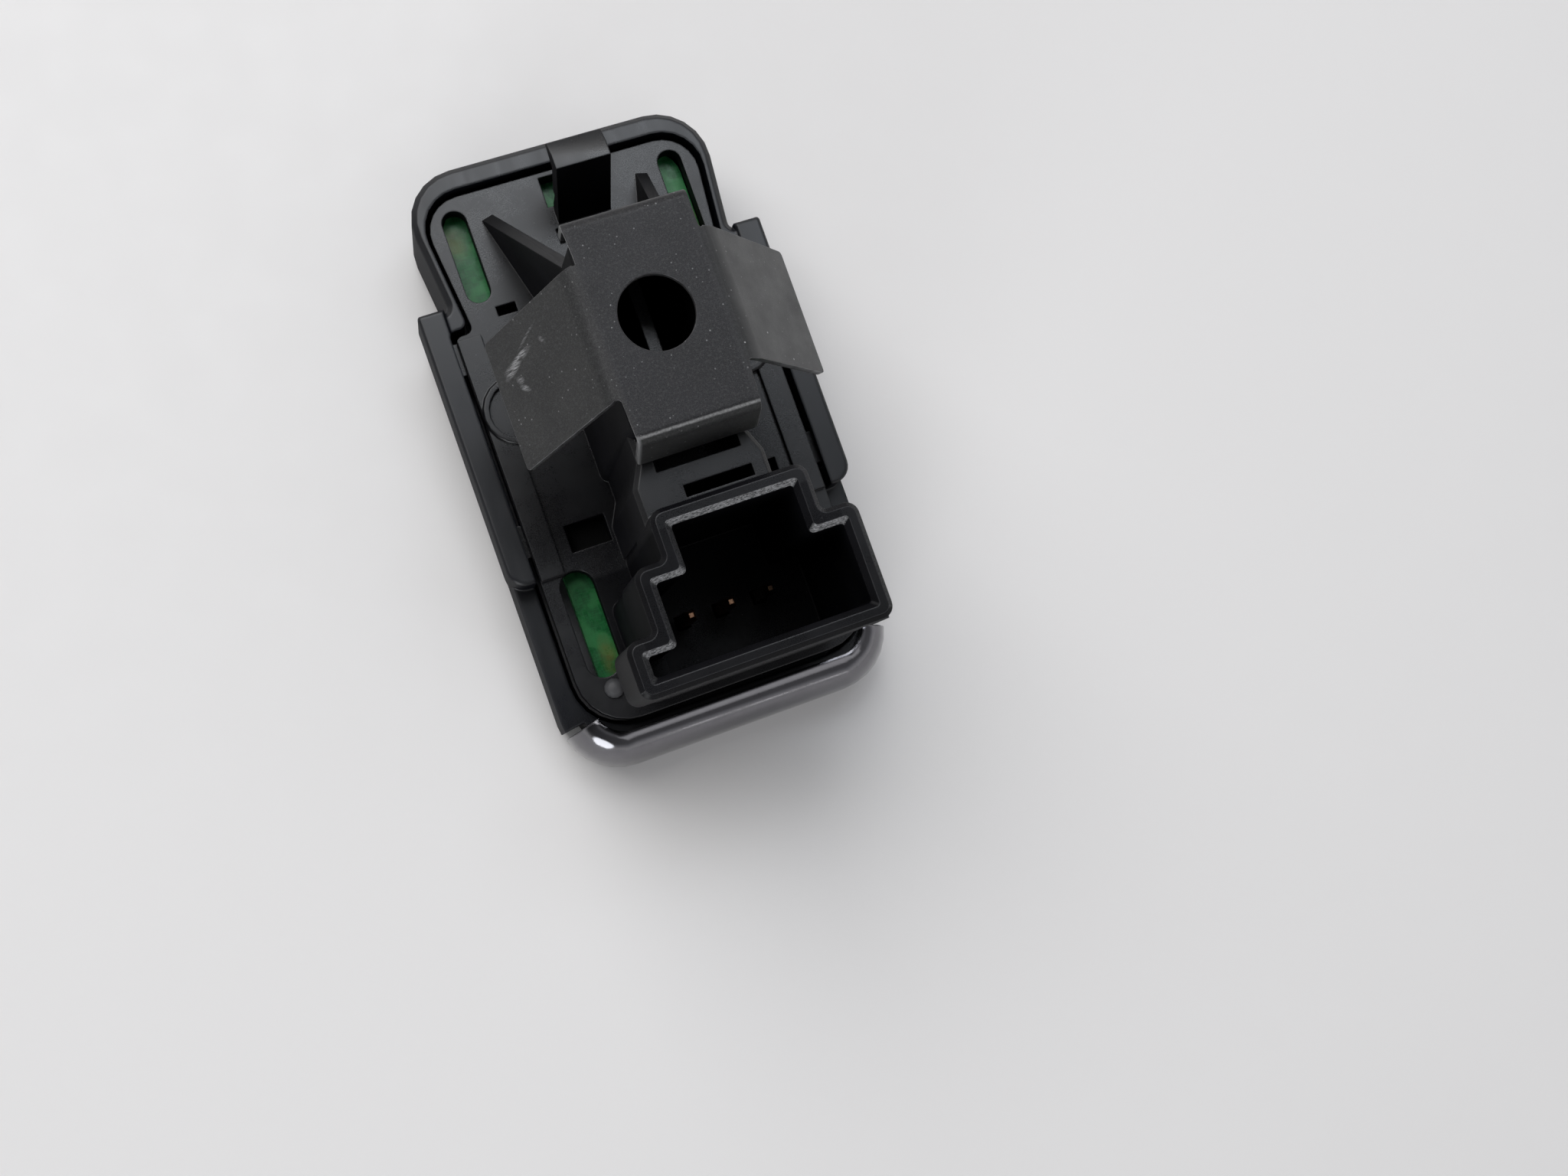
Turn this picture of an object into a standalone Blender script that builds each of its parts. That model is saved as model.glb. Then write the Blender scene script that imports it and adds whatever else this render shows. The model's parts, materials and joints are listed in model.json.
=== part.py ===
"""Seat adjustment switch, lying on its front face with its back up.

A bezel holds two rocker keys. Behind them lie an inner frame, a circuit board with four push
switches, and a moulded rear housing that carries the plug shroud and a spring steel clip.
+Z points out of the back, +Y towards the hook end, and the origin is under the middle.
"""

import math

import bmesh
import bpy
from mathutils import Vector

MM = 0.001

# Clearances
GAP = 0.3 * MM
SOLDER_GAP = 0.1 * MM
PIN_CLEARANCE = 0.1 * MM
OVERLAP = 0.2 * MM
CUT_EXTRA = 2.0 * MM

# Edge breaks
EDGE = 0.25 * MM
FINE_EDGE = 0.1 * MM

# Bezel plan
LENGTH = 37.2 * MM
BODY_HALF_WIDTH = 10.6 * MM
HEAD_HALF_WIDTH = 9.7 * MM
WAIST_HALF_WIDTH = 8.9 * MM
HEAD_LENGTH = 8.3 * MM
HEAD_CORNER = 3.2 * MM
END_CORNER = 3.8 * MM
STEP_CORNER = 0.45 * MM
INNER_CORNER = 3.4 * MM
BODY_WALL = 1.2 * MM
HEAD_WALL = 0.7 * MM
HEAD_END_WALL = 1.3 * MM
END_WALL = 1.0 * MM
FRONT_WALL = 0.8 * MM
FRONT_ROUND = (0.35 * MM, 0.9 * MM)
LIP_RISE = 0.5 * MM
LIP_ROUND = 0.35 * MM
END_SKIRT_DROP = 2.05 * MM

# Side rails
RAIL_PROUD = 0.25 * MM
RAIL_LENGTH = 16.9 * MM
RAIL_RISE = 0.65 * MM
RAIL_DEPTH = 3.2 * MM
RAIL_CORNER = 1.1 * MM
RAIL_TOP_CORNER = 0.2 * MM
RAIL_CHAMFER = 0.15 * MM

# Bright trim round the end
TRIM_THICKNESS = 1.0 * MM
TRIM_START_DEG = 15.0
TRIM_FRONT = 0.15 * MM
TRIM_SIDE = (
    (0.0, 0.55),
    (0.11, 0.25),
    (0.27, 0.06),
    (0.45, 0.0),
    (0.65, 0.08),
    (0.8, 0.28),
    (0.93, 0.6),
    (0.985, 0.79),
)
TRIM_REACH = 2.05 * MM
TRIM_LAP = 0.6 * MM
TRIM_FLANGE = (
    (0.0, 0.42),
    (0.5, 0.56),
    (0.87, 0.76),
    (1.0, 0.9),
)

# Keys
CROSSBAR = 1.2 * MM
KEY_RECESS = 0.5 * MM
KEY_FACE = 1.0 * MM
KEY_SKIRT = 1.1 * MM
KEY_WALL = 0.8 * MM
KEY_CORNER = 1.2 * MM
KEY_ROUND = 0.3 * MM
TRUNNION_RADIUS = 0.5 * MM
TRUNNION_HEIGHT = 2.0 * MM
POST_FROM_KEY_END = 1.3 * MM
POST_RADIUS = 0.8 * MM
POST_LENGTH = 0.7 * MM

# Inner frame and board
FRAME_HEIGHT = 2.7 * MM
FRAME_WALL = 0.8 * MM
SHELF_THICKNESS = 0.6 * MM
SHELF_INNER_X = 5.2 * MM
STAKE_RADIUS = 0.35 * MM
STAKE_HEAD_RADIUS = 0.6 * MM
STAKE_HEAD_HEIGHT = 0.45 * MM
DOME_LEVELS = (0.45, 0.8, 1.0)
DOME_FULLNESS = 0.94
END_STAKE_X = 7.1 * MM
END_STAKE_FROM_END = 4.7 * MM
MID_STAKE_X = 6.2 * MM
MID_STAKE_FROM_STEP = 1.8 * MM
BOARD_THICKNESS = 1.0 * MM
BOARD_SIDE_GAP = 0.6 * MM
BOARD_CORNER = 1.6 * MM

# Parts on the board
SWITCH_SIZE = 2.6 * MM
SWITCH_CORNER = 0.3 * MM
SWITCH_HEIGHT = 0.9 * MM
SWITCH_BASE = 0.15 * MM
PLUNGER_RADIUS = 0.6 * MM
PLUNGER_IN = 0.4 * MM
LED_SIZE = (1.6 * MM, 0.8 * MM, 0.6 * MM)
LED_X = 3.8 * MM
CHIP_SIZE = (4.9 * MM, 3.9 * MM, 1.4 * MM)
CHIP_FROM_TOP = 5.4 * MM
CHIP_LEG_PITCH = 1.27 * MM
CHIP_LEG = (0.4 * MM, 1.0 * MM, 0.6 * MM)
CHIP_LEG_PAIRS = 4
CAPACITOR_SIZE = (1.3 * MM, 2.0 * MM, 1.2 * MM)
CAPACITOR_X = 5.4 * MM
RESISTOR_COUNT = 3
RESISTOR_SIZE = (1.6 * MM, 0.8 * MM, 0.45 * MM)
RESISTOR_X = 5.0 * MM
RESISTOR_PITCH = 1.5 * MM

# Back plate of the housing
PLATE_THICKNESS = 1.0 * MM
HEAD_SLOT = (1.5 * MM, 5.8 * MM)
HEAD_SLOT_FROM_SIDE = 2.85 * MM
HEAD_SLOT_FROM_TOP = 5.3 * MM
END_SLOT = (2.1 * MM, 6.6 * MM)
END_SLOT_X = 7.15 * MM
END_SLOT_FROM_END = 8.75 * MM
SLOT_ROUNDING = 0.98
LEDGE_WIDTH = 1.5 * MM
LEDGE_INSET = 0.05 * MM
LEDGE_RISE = 0.35 * MM
PAD_X = 7.0 * MM
PAD_FROM_STEP = 6.8 * MM
PAD_RADIUS = 2.1 * MM
PAD_RISE = 0.6 * MM
PAD_RIM = 0.4 * MM
SQUARE_HOLE = (1.2 * MM, 0.6 * MM)
SQUARE_HOLE_X = 5.6 * MM
SQUARE_HOLE_FROM_TOP = 9.0 * MM
VENT = (2.5 * MM, 1.7 * MM)
VENT_X = 5.5 * MM
VENT_FROM_END = 13.9 * MM
LUG_LENGTH = 2.0 * MM
LUG_OUT = 0.55 * MM
LUG_THICKNESS = 0.6 * MM
LUG_FROM_RAIL_END = 2.6 * MM
LUG_FROM_STEP = 2.8 * MM

# Hook tab at the head
HOOK_X = 0.75 * MM
HOOK_WIDTH = 3.3 * MM
HOOK_THICKNESS = 1.0 * MM
HOOK_HEIGHT = 5.6 * MM
HOOK_LEAN = 1.5 * MM
HOOK_LIP = 0.9 * MM
HOOK_INNER_WINDOW = 0.95 * MM
HOOK_WINDOW_RIM = 0.3 * MM
HOOK_OUTER_SIDE = (
    (0.72, 0.0, 0.78),
    (1.0, 1.0, 0.84),
    (1.0, 0.8, 0.93),
    (0.9, 0.0, 1.0),
)

# Shares of the back between plug shroud and head end: post, tower, and hook from the head end
LATCH_POST_SHARE = 0.168
TOWER_SHARE = 0.42
HOOK_SHARE = 0.2

# Clip tower and latch post
TOWER_HALF_WIDTH = 3.3 * MM
TOWER_DRAFT = 0.35 * MM
TOWER_HEIGHT = 14.9 * MM
TOWER_CORNER = 0.5 * MM
TOWER_WALL = 1.1 * MM
WELL_FLOOR = 1.6 * MM
WELL_RIB = 0.7 * MM
WELL_RIB_DROP = 4.0 * MM
WELL_CORNER = 0.2 * MM
GUSSET_THICKNESS = 0.7 * MM
GUSSET_TOP_DROP = 3.3 * MM
GUSSET_FOOT_X = 4.9 * MM
GUSSET_FOOT_FROM_TOP = 3.4 * MM
LATCH_POST_LEFT = (3.3 * MM, 4.0 * MM)
LATCH_POST_RIGHT = (2.9 * MM, 3.45 * MM)
LATCH_POST_SHOULDERS = (0.3, 0.62)
LATCH_POST_ROUND = 0.6 * MM
LATCH_POST_DROP = 2.5 * MM
LATCH_SLOT = (3.9 * MM, 0.65 * MM, 6.0 * MM)
LATCH_SLOT_FROM_SHROUD = 0.36 * MM
LATCH_SLOT_X = 0.55 * MM
LEG_SLOT = (4.8 * MM, 1.75 * MM, 3.2 * MM)
LEG_SLOT_X = -0.1 * MM

# Plug shroud: side distances and steps are read from the tower's side downwards
SHROUD_FROM_END = 3.0 * MM
SHROUD_HEIGHT = 14.6 * MM
SHROUD_FLOOR = 1.5 * MM
SHROUD_WALL = 1.0 * MM
SHROUD_CORNER = 0.7 * MM
SHROUD_INNER_CORNER = 0.3 * MM
CAVITY_CORNER = 0.2 * MM
SHROUD_RIM = 0.3 * MM
SHROUD_DEPTH_Y = 9.2 * MM
SHROUD_LEFT = (4.05 * MM, 5.8 * MM, 7.45 * MM)
SHROUD_LEFT_STEPS = (2.6 * MM, 6.05 * MM)
SHROUD_RIGHT = (4.75 * MM, 6.65 * MM)
SHROUD_RIGHT_STEP = 2.75 * MM
SHROUD_COLLAR = 0.12 * MM
SHROUD_FOOT_DEPTH = 7.2 * MM

# Terminals
PIN_COUNT = 3
PIN_PITCH = 2.4 * MM
PIN_SIZE = 0.64 * MM
PIN_ROW_X = 0.2 * MM
PIN_FROM_SHROUD_END = 3.95 * MM
PIN_EXPOSED = 4.1 * MM
PIN_TIP = 0.6 * MM
PIN_TIP_TAPER = 0.19 * MM
PIN_TAIL = 0.8 * MM

# Spring clip
SHEET = 0.4 * MM
CLIP_HALF_WIDTH = 3.55 * MM
CLIP_TOP_OVERHANG = 0.2 * MM
CLIP_END_OVERHANG = 0.35 * MM
CLIP_HOLE_RADIUS = 2.05 * MM
CLIP_HOLE_LEFT = 0.2 * MM
CLIP_HOLE_SHARE = 0.484
CLIP_BEND = 0.7 * MM
CLIP_LEG_LENGTH = 2.3 * MM
CLIP_LEG_LEAN_DEG = 78.0
CLIP_LEG_INSET = 0.15 * MM
CLIP_TAIL_LENGTH = 1.6 * MM
WING_START_SHARE = 0.149
WING_ROOT_SHARE = 0.679
WING_OUT = 5.1 * MM
WING_DROP = 5.8 * MM
WING_SWEEP_TOP = 1.25 * MM
WING_SWEEP_END = 0.95 * MM
WING_BEND = 0.8 * MM
NOTCH_RADIUS = 0.42 * MM

# Facets
ARC_STEPS = 6
ROUND_SIDES = 20
SMALL_SIDES = 12
LARGE_SIDES = 36
SMOOTH_BELOW_DEG = 35

# Levels above the front face, from the stack of pieces
FRAME_FRONT = FRONT_WALL + GAP
FRAME_BACK = FRAME_FRONT + FRAME_HEIGHT
BOARD_FRONT = FRAME_BACK + GAP
BOARD_BACK = BOARD_FRONT + BOARD_THICKNESS
PLATE_FRONT = BOARD_BACK + GAP
PLATE_BACK = PLATE_FRONT + PLATE_THICKNESS
BEZEL_BACK = PLATE_BACK + LIP_RISE
RAIL_BACK = PLATE_BACK + RAIL_RISE
END_SKIRT_BACK = BEZEL_BACK - END_SKIRT_DROP
TOWER_BACK = PLATE_BACK + TOWER_HEIGHT
SHROUD_BACK = PLATE_BACK + SHROUD_HEIGHT
SHROUD_FLOOR_BACK = PLATE_BACK + SHROUD_FLOOR
SHROUD_FOOT_FRONT = SHROUD_BACK - SHROUD_FOOT_DEPTH
LATCH_POST_BACK = TOWER_BACK - LATCH_POST_DROP
LUG_FRONT = PLATE_FRONT + OVERLAP
CLIP_FRONT = TOWER_BACK + GAP
CLIP_BACK = CLIP_FRONT + SHEET

# Places along Y
TOP_Y = LENGTH / 2
END_Y = -LENGTH / 2
STEP_Y = TOP_Y - HEAD_LENGTH
RAIL_END_Y = STEP_Y - RAIL_LENGTH
BEZEL_END_Y = END_Y + TRIM_THICKNESS + GAP
INNER_END_Y = BEZEL_END_Y + END_WALL
INNER_TOP_Y = TOP_Y - HEAD_END_WALL
INNER_STEP_Y = STEP_Y - BODY_WALL
SHROUD_END_Y = END_Y + SHROUD_FROM_END
SHROUD_TOP_Y = SHROUD_END_Y + SHROUD_DEPTH_Y
BACK_RUN = TOP_Y - SHROUD_TOP_Y
TOWER_END_Y = SHROUD_TOP_Y + LATCH_POST_SHARE * BACK_RUN
TOWER_TOP_Y = TOWER_END_Y + TOWER_SHARE * BACK_RUN
HOOK_Y = TOP_Y - HOOK_SHARE * BACK_RUN
CLIP_TOP_Y = TOWER_TOP_Y + CLIP_TOP_OVERHANG
CLIP_END_Y = TOWER_END_Y - CLIP_END_OVERHANG
CLIP_LENGTH = CLIP_TOP_Y - CLIP_END_Y
PAD_Y = STEP_Y - PAD_FROM_STEP
LUG_PLACES = (RAIL_END_Y + LUG_FROM_RAIL_END, STEP_Y - LUG_FROM_STEP)

# Half widths inside the bezel
INNER_HALF = BODY_HALF_WIDTH - BODY_WALL
INNER_WAIST_HALF = WAIST_HALF_WIDTH - HEAD_WALL
PLATE_HALF = INNER_HALF - GAP
BOARD_HALF = INNER_WAIST_HALF - BOARD_SIDE_GAP

# Keys and their windows, inside the inner frame's walls
WINDOW_HALF = PLATE_HALF - FRAME_WALL
WINDOW_LOW_Y = INNER_END_Y + GAP + FRAME_WALL
WINDOW_HIGH_Y = INNER_STEP_Y - GAP - FRAME_WALL
WINDOW_LENGTH = (WINDOW_HIGH_Y - WINDOW_LOW_Y - CROSSBAR) / 2
KEY_HALF_WIDTH = WINDOW_HALF - GAP
KEY_LENGTH = WINDOW_LENGTH - 2 * GAP
POST_REACH = KEY_LENGTH / 2 - POST_FROM_KEY_END
KEYS = {
    "travel": WINDOW_HIGH_Y - WINDOW_LENGTH / 2,
    "recline": WINDOW_LOW_Y + WINDOW_LENGTH / 2,
}


# Colours, roughness and metal share of each finish
FINISHES = {
    "gloss_black": ((0.012, 0.012, 0.014), 0.18, 0.0),
    "bright_trim": ((0.62, 0.63, 0.65), 0.12, 1.0),
    "moulded_black": ((0.020, 0.020, 0.022), 0.48, 0.0),
    "key_black": ((0.016, 0.016, 0.017), 0.35, 0.0),
    "frame_grey": ((0.22, 0.22, 0.23), 0.55, 0.0),
    "spring_steel": ((0.050, 0.051, 0.052), 0.42, 0.75),
    "board_green": ((0.018, 0.16, 0.060), 0.35, 0.0),
    "contact_copper": ((0.72, 0.40, 0.24), 0.25, 1.0),
    "switch_steel": ((0.55, 0.55, 0.56), 0.30, 1.0),
    "plunger_black": ((0.03, 0.03, 0.03), 0.45, 0.0),
    "led_white": ((0.80, 0.78, 0.66), 0.30, 0.0),
    "chip_black": ((0.025, 0.025, 0.025), 0.50, 0.0),
    "ceramic_tan": ((0.42, 0.30, 0.20), 0.45, 0.0),
}


def clear_scene():
    for thing in list(bpy.data.objects):
        bpy.data.objects.remove(thing, do_unlink=True)


def finish(name):
    """The Principled material called name, made on first use."""
    known = bpy.data.materials.get(name)
    if known:
        return known
    colour, roughness, metal = FINISHES[name]
    made = bpy.data.materials.new(name)
    made.use_nodes = True
    shader = made.node_tree.nodes["Principled BSDF"]
    shader.inputs["Base Color"].default_value = (*colour, 1.0)
    shader.inputs["Roughness"].default_value = roughness
    shader.inputs["Metallic"].default_value = metal
    return made


def place(name, mesh, material=None):
    """Links a mesh to the scene as an object, with its finish."""
    made = bpy.data.objects.new(name, mesh)
    bpy.context.scene.collection.objects.link(made)
    if material:
        mesh.materials.append(finish(material))
    return made


def to_mesh(name, bm):
    """Closes a bmesh into a mesh whose faces point out."""
    bmesh.ops.recalc_face_normals(bm, faces=bm.faces)
    mesh = bpy.data.meshes.new(name)
    bm.to_mesh(mesh)
    bm.free()
    mesh.shade_smooth()
    mesh.set_sharp_from_angle(angle=math.radians(SMOOTH_BELOW_DEG))
    return mesh


def add_rings(bm, rings):
    """Skins a stack of closed rings of equal count, with a cap at each end."""
    rows = [[bm.verts.new(point) for point in ring] for ring in rings]
    count = len(rows[0])
    for low, high in zip(rows, rows[1:]):
        for i in range(count):
            j = (i + 1) % count
            bm.faces.new((low[i], low[j], high[j], high[i]))
    bm.faces.new(list(reversed(rows[0])))
    bm.faces.new(rows[-1])


def loft(name, rings, material=None):
    bm = bmesh.new()
    add_rings(bm, rings)
    return place(name, to_mesh(name, bm), material)


def arc(centre, radius, start, sweep, steps=ARC_STEPS):
    """Points of an arc, angles in radians, both ends included."""
    return [
        (
            centre[0] + radius * math.cos(start + sweep * i / steps),
            centre[1] + radius * math.sin(start + sweep * i / steps),
        )
        for i in range(steps + 1)
    ]


def rounded(corners):
    """Outline through (x, y, radius) corners, each turned on an arc of its radius."""
    outline = []
    for i, (x, y, radius) in enumerate(corners):
        here = Vector((x, y))
        back = (Vector(corners[i - 1][:2]) - here).normalized()
        ahead = (Vector(corners[(i + 1) % len(corners)][:2]) - here).normalized()
        if radius <= 0:
            outline.append((x, y))
            continue
        half = back.angle(ahead) / 2
        centre = here + (back + ahead).normalized() * (radius / math.sin(half))
        first = here + back * (radius / math.tan(half)) - centre
        last = here + ahead * (radius / math.tan(half)) - centre
        start = math.atan2(first.y, first.x)
        sweep = math.atan2(last.y, last.x) - start
        sweep = (sweep + math.pi) % (2 * math.pi) - math.pi
        outline += arc(centre, radius, start, sweep)
    return outline


def rectangle(x0, y0, x1, y1, radius=0.0):
    return rounded([(x0, y0, radius), (x1, y0, radius), (x1, y1, radius), (x0, y1, radius)])


def around(x, y, width, length, radius=0.0):
    """Rectangle about its middle (x, y)."""
    return rectangle(x - width / 2, y - length / 2, x + width / 2, y + length / 2, radius)


def circle(x, y, radius, sides=ROUND_SIDES):
    return arc((x, y), radius, 0.0, 2 * math.pi * (sides - 1) / sides, sides - 1)


def inset(outline, distance):
    """Moves each point of an anticlockwise outline inwards along its corner's bisector."""
    moved = []
    for i, point in enumerate(outline):
        here = Vector(point)
        before = (here - Vector(outline[i - 1])).normalized()
        after = (Vector(outline[(i + 1) % len(outline)]) - here).normalized()
        normal_a = Vector((-before.y, before.x))
        normal_b = Vector((-after.y, after.x))
        middle = (normal_a + normal_b).normalized()
        moved.append(tuple(here + middle * (distance / middle.dot(normal_a))))
    return moved


def at_level(outline, z):
    return [(x, y, z) for x, y in outline]


def prism(name, outline, z0, z1, material=None, top=0.0, bottom=0.0):
    """Upright prism, with chamfers of the given widths at its top and bottom edges."""
    rings = []
    if bottom:
        rings.append(at_level(inset(outline, bottom), z0))
    rings.append(at_level(outline, z0 + bottom))
    rings.append(at_level(outline, z1 - top))
    if top:
        rings.append(at_level(inset(outline, top), z1))
    return loft(name, rings, material)


def box(name, low, high, material=None):
    return prism(name, rectangle(low[0], low[1], high[0], high[1]), low[2], high[2], material)


def across(name, profile, x0, x1, material=None):
    """Prism of a (y, z) profile, from x0 to x1."""
    return loft(name, [[(x, y, z) for y, z in profile] for x in (x0, x1)], material)


def combine(target, tool, operation):
    step = target.modifiers.new(tool.name, "BOOLEAN")
    step.operation = operation
    step.solver = "EXACT"
    step.object = tool
    tool.hide_render = True
    tool.display_type = "WIRE"


def join(target, tool):
    combine(target, tool, "UNION")


def cut(target, tool):
    combine(target, tool, "DIFFERENCE")


def plan_outline(shrink, waist_shrink, low_y, step_y, high_y, end_round, head_round):
    """Plan outline: straight body, step to the waist, and a head that flares to its corners."""
    half = BODY_HALF_WIDTH - shrink
    waist = WAIST_HALF_WIDTH - waist_shrink
    head = HEAD_HALF_WIDTH - waist_shrink
    return rounded(
        [
            (-half, low_y, end_round),
            (half, low_y, end_round),
            (half, step_y, STEP_CORNER),
            (waist, step_y, STEP_CORNER),
            (head, high_y, head_round),
            (-head, high_y, head_round),
            (-waist, step_y, STEP_CORNER),
            (-half, step_y, STEP_CORNER),
        ]
    )


def end_path(offset, start):
    """Path round the bezel's end, offset outwards, from the angle start below the sides."""
    turn = END_CORNER + offset
    x = BODY_HALF_WIDTH - END_CORNER
    y = END_Y + END_CORNER
    sweep = start - math.pi / 2
    return arc((x, y), turn, -start, sweep) + arc((-x, y), turn, -math.pi / 2, sweep)


def trim_ring(outer_offset, inner_offset, start, z):
    """Closed ring of the end trim's section at one level."""
    outer = end_path(outer_offset, start)
    inner = end_path(inner_offset, start)
    return at_level(outer + list(reversed(inner)), z)


def chrome_trim():
    """Bright strip round the bezel's end, crowned outside, with a flange over the end skirt."""
    start = math.radians(TRIM_START_DEG)
    lap = END_SKIRT_BACK + GAP
    rise = lap - TRIM_FRONT
    rings = [
        trim_ring(-share * TRIM_THICKNESS, -TRIM_THICKNESS, start, TRIM_FRONT + part * rise)
        for part, share in TRIM_SIDE
    ]
    rings += [
        trim_ring(-share * TRIM_REACH, -TRIM_REACH, start, lap + part * TRIM_LAP)
        for part, share in TRIM_FLANGE
    ]
    return loft("chrome_trim", rings, "bright_trim")


def side_rail(side):
    """Square-ended rail on the bezel's side, rounded at the corner nearest the plug."""
    inner = INNER_HALF - OVERLAP
    outer = BODY_HALF_WIDTH + RAIL_PROUD
    outline = rounded(
        [
            (inner, RAIL_END_Y, 0.0),
            (outer, RAIL_END_Y, RAIL_CORNER),
            (outer, STEP_Y + OVERLAP, RAIL_TOP_CORNER),
            (inner, STEP_Y + OVERLAP, 0.0),
        ]
    )
    if side < 0:
        outline = [(-x, y) for x, y in reversed(outline)]
    name = "rail_left" if side < 0 else "rail_right"
    return prism(name, outline, RAIL_BACK - RAIL_DEPTH, RAIL_BACK, top=RAIL_CHAMFER)


def front_bezel():
    """Frame with a rounded front edge, a deep pocket, two key windows and raised side rails."""
    outline = plan_outline(0.0, 0.0, END_Y, STEP_Y, TOP_Y, END_CORNER, HEAD_CORNER)
    rings = []
    edge_in, edge_up = FRONT_ROUND
    for turn in (0, 30, 60, 90):
        angle = math.radians(turn)
        ring = inset(outline, edge_in * (1 - math.sin(angle)))
        rings.append(at_level(ring, edge_up * (1 - math.cos(angle))))
    rings.append(at_level(outline, BEZEL_BACK - LIP_ROUND))
    rings.append(at_level(inset(outline, LIP_ROUND), BEZEL_BACK))
    bezel = loft("front_bezel", rings, "gloss_black")

    far = BODY_HALF_WIDTH + CUT_EXTRA
    low = (-far, END_Y - CUT_EXTRA, END_SKIRT_BACK)
    high = (far, RAIL_END_Y + RAIL_CORNER, BEZEL_BACK + CUT_EXTRA)
    cut(bezel, box("end_skirt_cutter", low, high))
    for side in (-1, 1):
        join(bezel, side_rail(side))

    start = math.radians(TRIM_START_DEG) - GAP / (END_CORNER - TRIM_THICKNESS)
    seat = [
        trim_ring(CUT_EXTRA, -TRIM_THICKNESS - GAP, start, z)
        for z in (-CUT_EXTRA, BEZEL_BACK + CUT_EXTRA)
    ]
    cut(bezel, loft("trim_seat_cutter", seat))

    head_round = HEAD_CORNER - HEAD_WALL
    pocket = plan_outline(
        BODY_WALL, HEAD_WALL, INNER_END_Y, INNER_STEP_Y, INNER_TOP_Y, INNER_CORNER, head_round
    )
    cut(bezel, prism("pocket_cutter", pocket, FRONT_WALL, BEZEL_BACK + CUT_EXTRA))

    for name, y in KEYS.items():
        half = WINDOW_LENGTH / 2
        window = rectangle(-WINDOW_HALF, y - half, WINDOW_HALF, y + half, KEY_CORNER + GAP)
        cut(bezel, prism(name + "_window_cutter", window, -CUT_EXTRA, FRONT_WALL + OVERLAP))

    for side in (-1, 1):
        for number, y in enumerate(LUG_PLACES):
            half = LUG_LENGTH / 2 + GAP
            x = sorted((side * (INNER_HALF - OVERLAP), side * (PLATE_HALF + LUG_OUT + GAP)))
            low = (x[0], y - half, LUG_FRONT - GAP)
            high = (x[1], y + half, LUG_FRONT + LUG_THICKNESS + GAP)
            cut(bezel, box(f"lug_pocket_{side}_{number}", low, high))
    return bezel


def rocker_key(name, y):
    """Hollow rocker with moulded trunnions and two posts; its origin is on the rocking axis."""
    half = KEY_LENGTH / 2
    front = KEY_RECESS - TRUNNION_HEIGHT
    rim = front + KEY_FACE + KEY_SKIRT
    outline = rectangle(-KEY_HALF_WIDTH, -half, KEY_HALF_WIDTH, half, KEY_CORNER)
    key = prism(name + "_key", outline, front, rim, "key_black", bottom=KEY_ROUND)
    side = KEY_HALF_WIDTH - KEY_WALL
    end = half - KEY_WALL
    hollow = rectangle(-side, -end, side, end, KEY_CORNER / 2)
    cut(key, prism(name + "_hollow", hollow, front + KEY_FACE, rim + CUT_EXTRA))

    reach = PLATE_HALF - GAP
    for side in (-1, 1):
        x0, x1 = sorted((side * (KEY_HALF_WIDTH - KEY_WALL / 2), side * reach))
        pin = across(f"{name}_trunnion_{side}", circle(0, 0, TRUNNION_RADIUS), x0, x1)
        join(key, pin)
        post = circle(0, side * POST_REACH, POST_RADIUS, SMALL_SIDES)
        z0 = front + KEY_FACE - OVERLAP
        tip = front + KEY_FACE + POST_LENGTH
        foot = prism(f"{name}_post_{side}", post, z0, tip, top=FINE_EDGE)
        join(key, foot)
        for part in (pin, foot):
            part.parent = key
    bpy.data.objects[name + "_hollow"].parent = key
    key.location = (0, y, TRUNNION_HEIGHT)
    return key


def stake_places():
    """Heat stakes that hold board and housing to the inner frame."""
    end_y = END_Y + END_STAKE_FROM_END
    mid_y = INNER_STEP_Y - GAP - MID_STAKE_FROM_STEP
    return [
        (side * x, y)
        for x, y in ((END_STAKE_X, end_y), (MID_STAKE_X, mid_y))
        for side in (-1, 1)
    ]


def inner_frame():
    """Grey frame round both keys, with trunnion slots, board shelves and heat stakes."""
    low_y = INNER_END_Y + GAP
    high_y = INNER_STEP_Y - GAP
    turn = INNER_CORNER - GAP
    outer = rounded(
        [
            (-PLATE_HALF, low_y, turn),
            (PLATE_HALF, low_y, turn),
            (PLATE_HALF, high_y, STEP_CORNER),
            (-PLATE_HALF, high_y, STEP_CORNER),
        ]
    )
    frame = prism("inner_frame", outer, FRAME_FRONT, FRAME_BACK, "frame_grey")
    half = PLATE_HALF - FRAME_WALL
    for name, y in KEYS.items():
        reach = WINDOW_LENGTH / 2
        opening = rectangle(-half, y - reach, half, y + reach, KEY_CORNER + GAP)
        below = FRAME_FRONT - CUT_EXTRA
        cut(frame, prism(name + "_opening", opening, below, FRAME_BACK - SHELF_THICKNESS))
        light = rectangle(-SHELF_INNER_X, y - reach, SHELF_INNER_X, y + reach, KEY_CORNER)
        cut(frame, prism(name + "_light_opening", light, FRAME_FRONT, FRAME_BACK + CUT_EXTRA))
        slot_half = TRUNNION_RADIUS + GAP
        crest = arc((y, TRUNNION_HEIGHT), slot_half, 0.0, math.pi)
        profile = [(y + slot_half, below)] + crest + [(y - slot_half, below)]
        far = PLATE_HALF + CUT_EXTRA
        cut(frame, across(name + "_trunnion_slot", profile, -far, far))
    for number, (x, y) in enumerate(stake_places()):
        join(frame, heat_stake(f"stake_{number}", x, y))
    return frame


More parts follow.
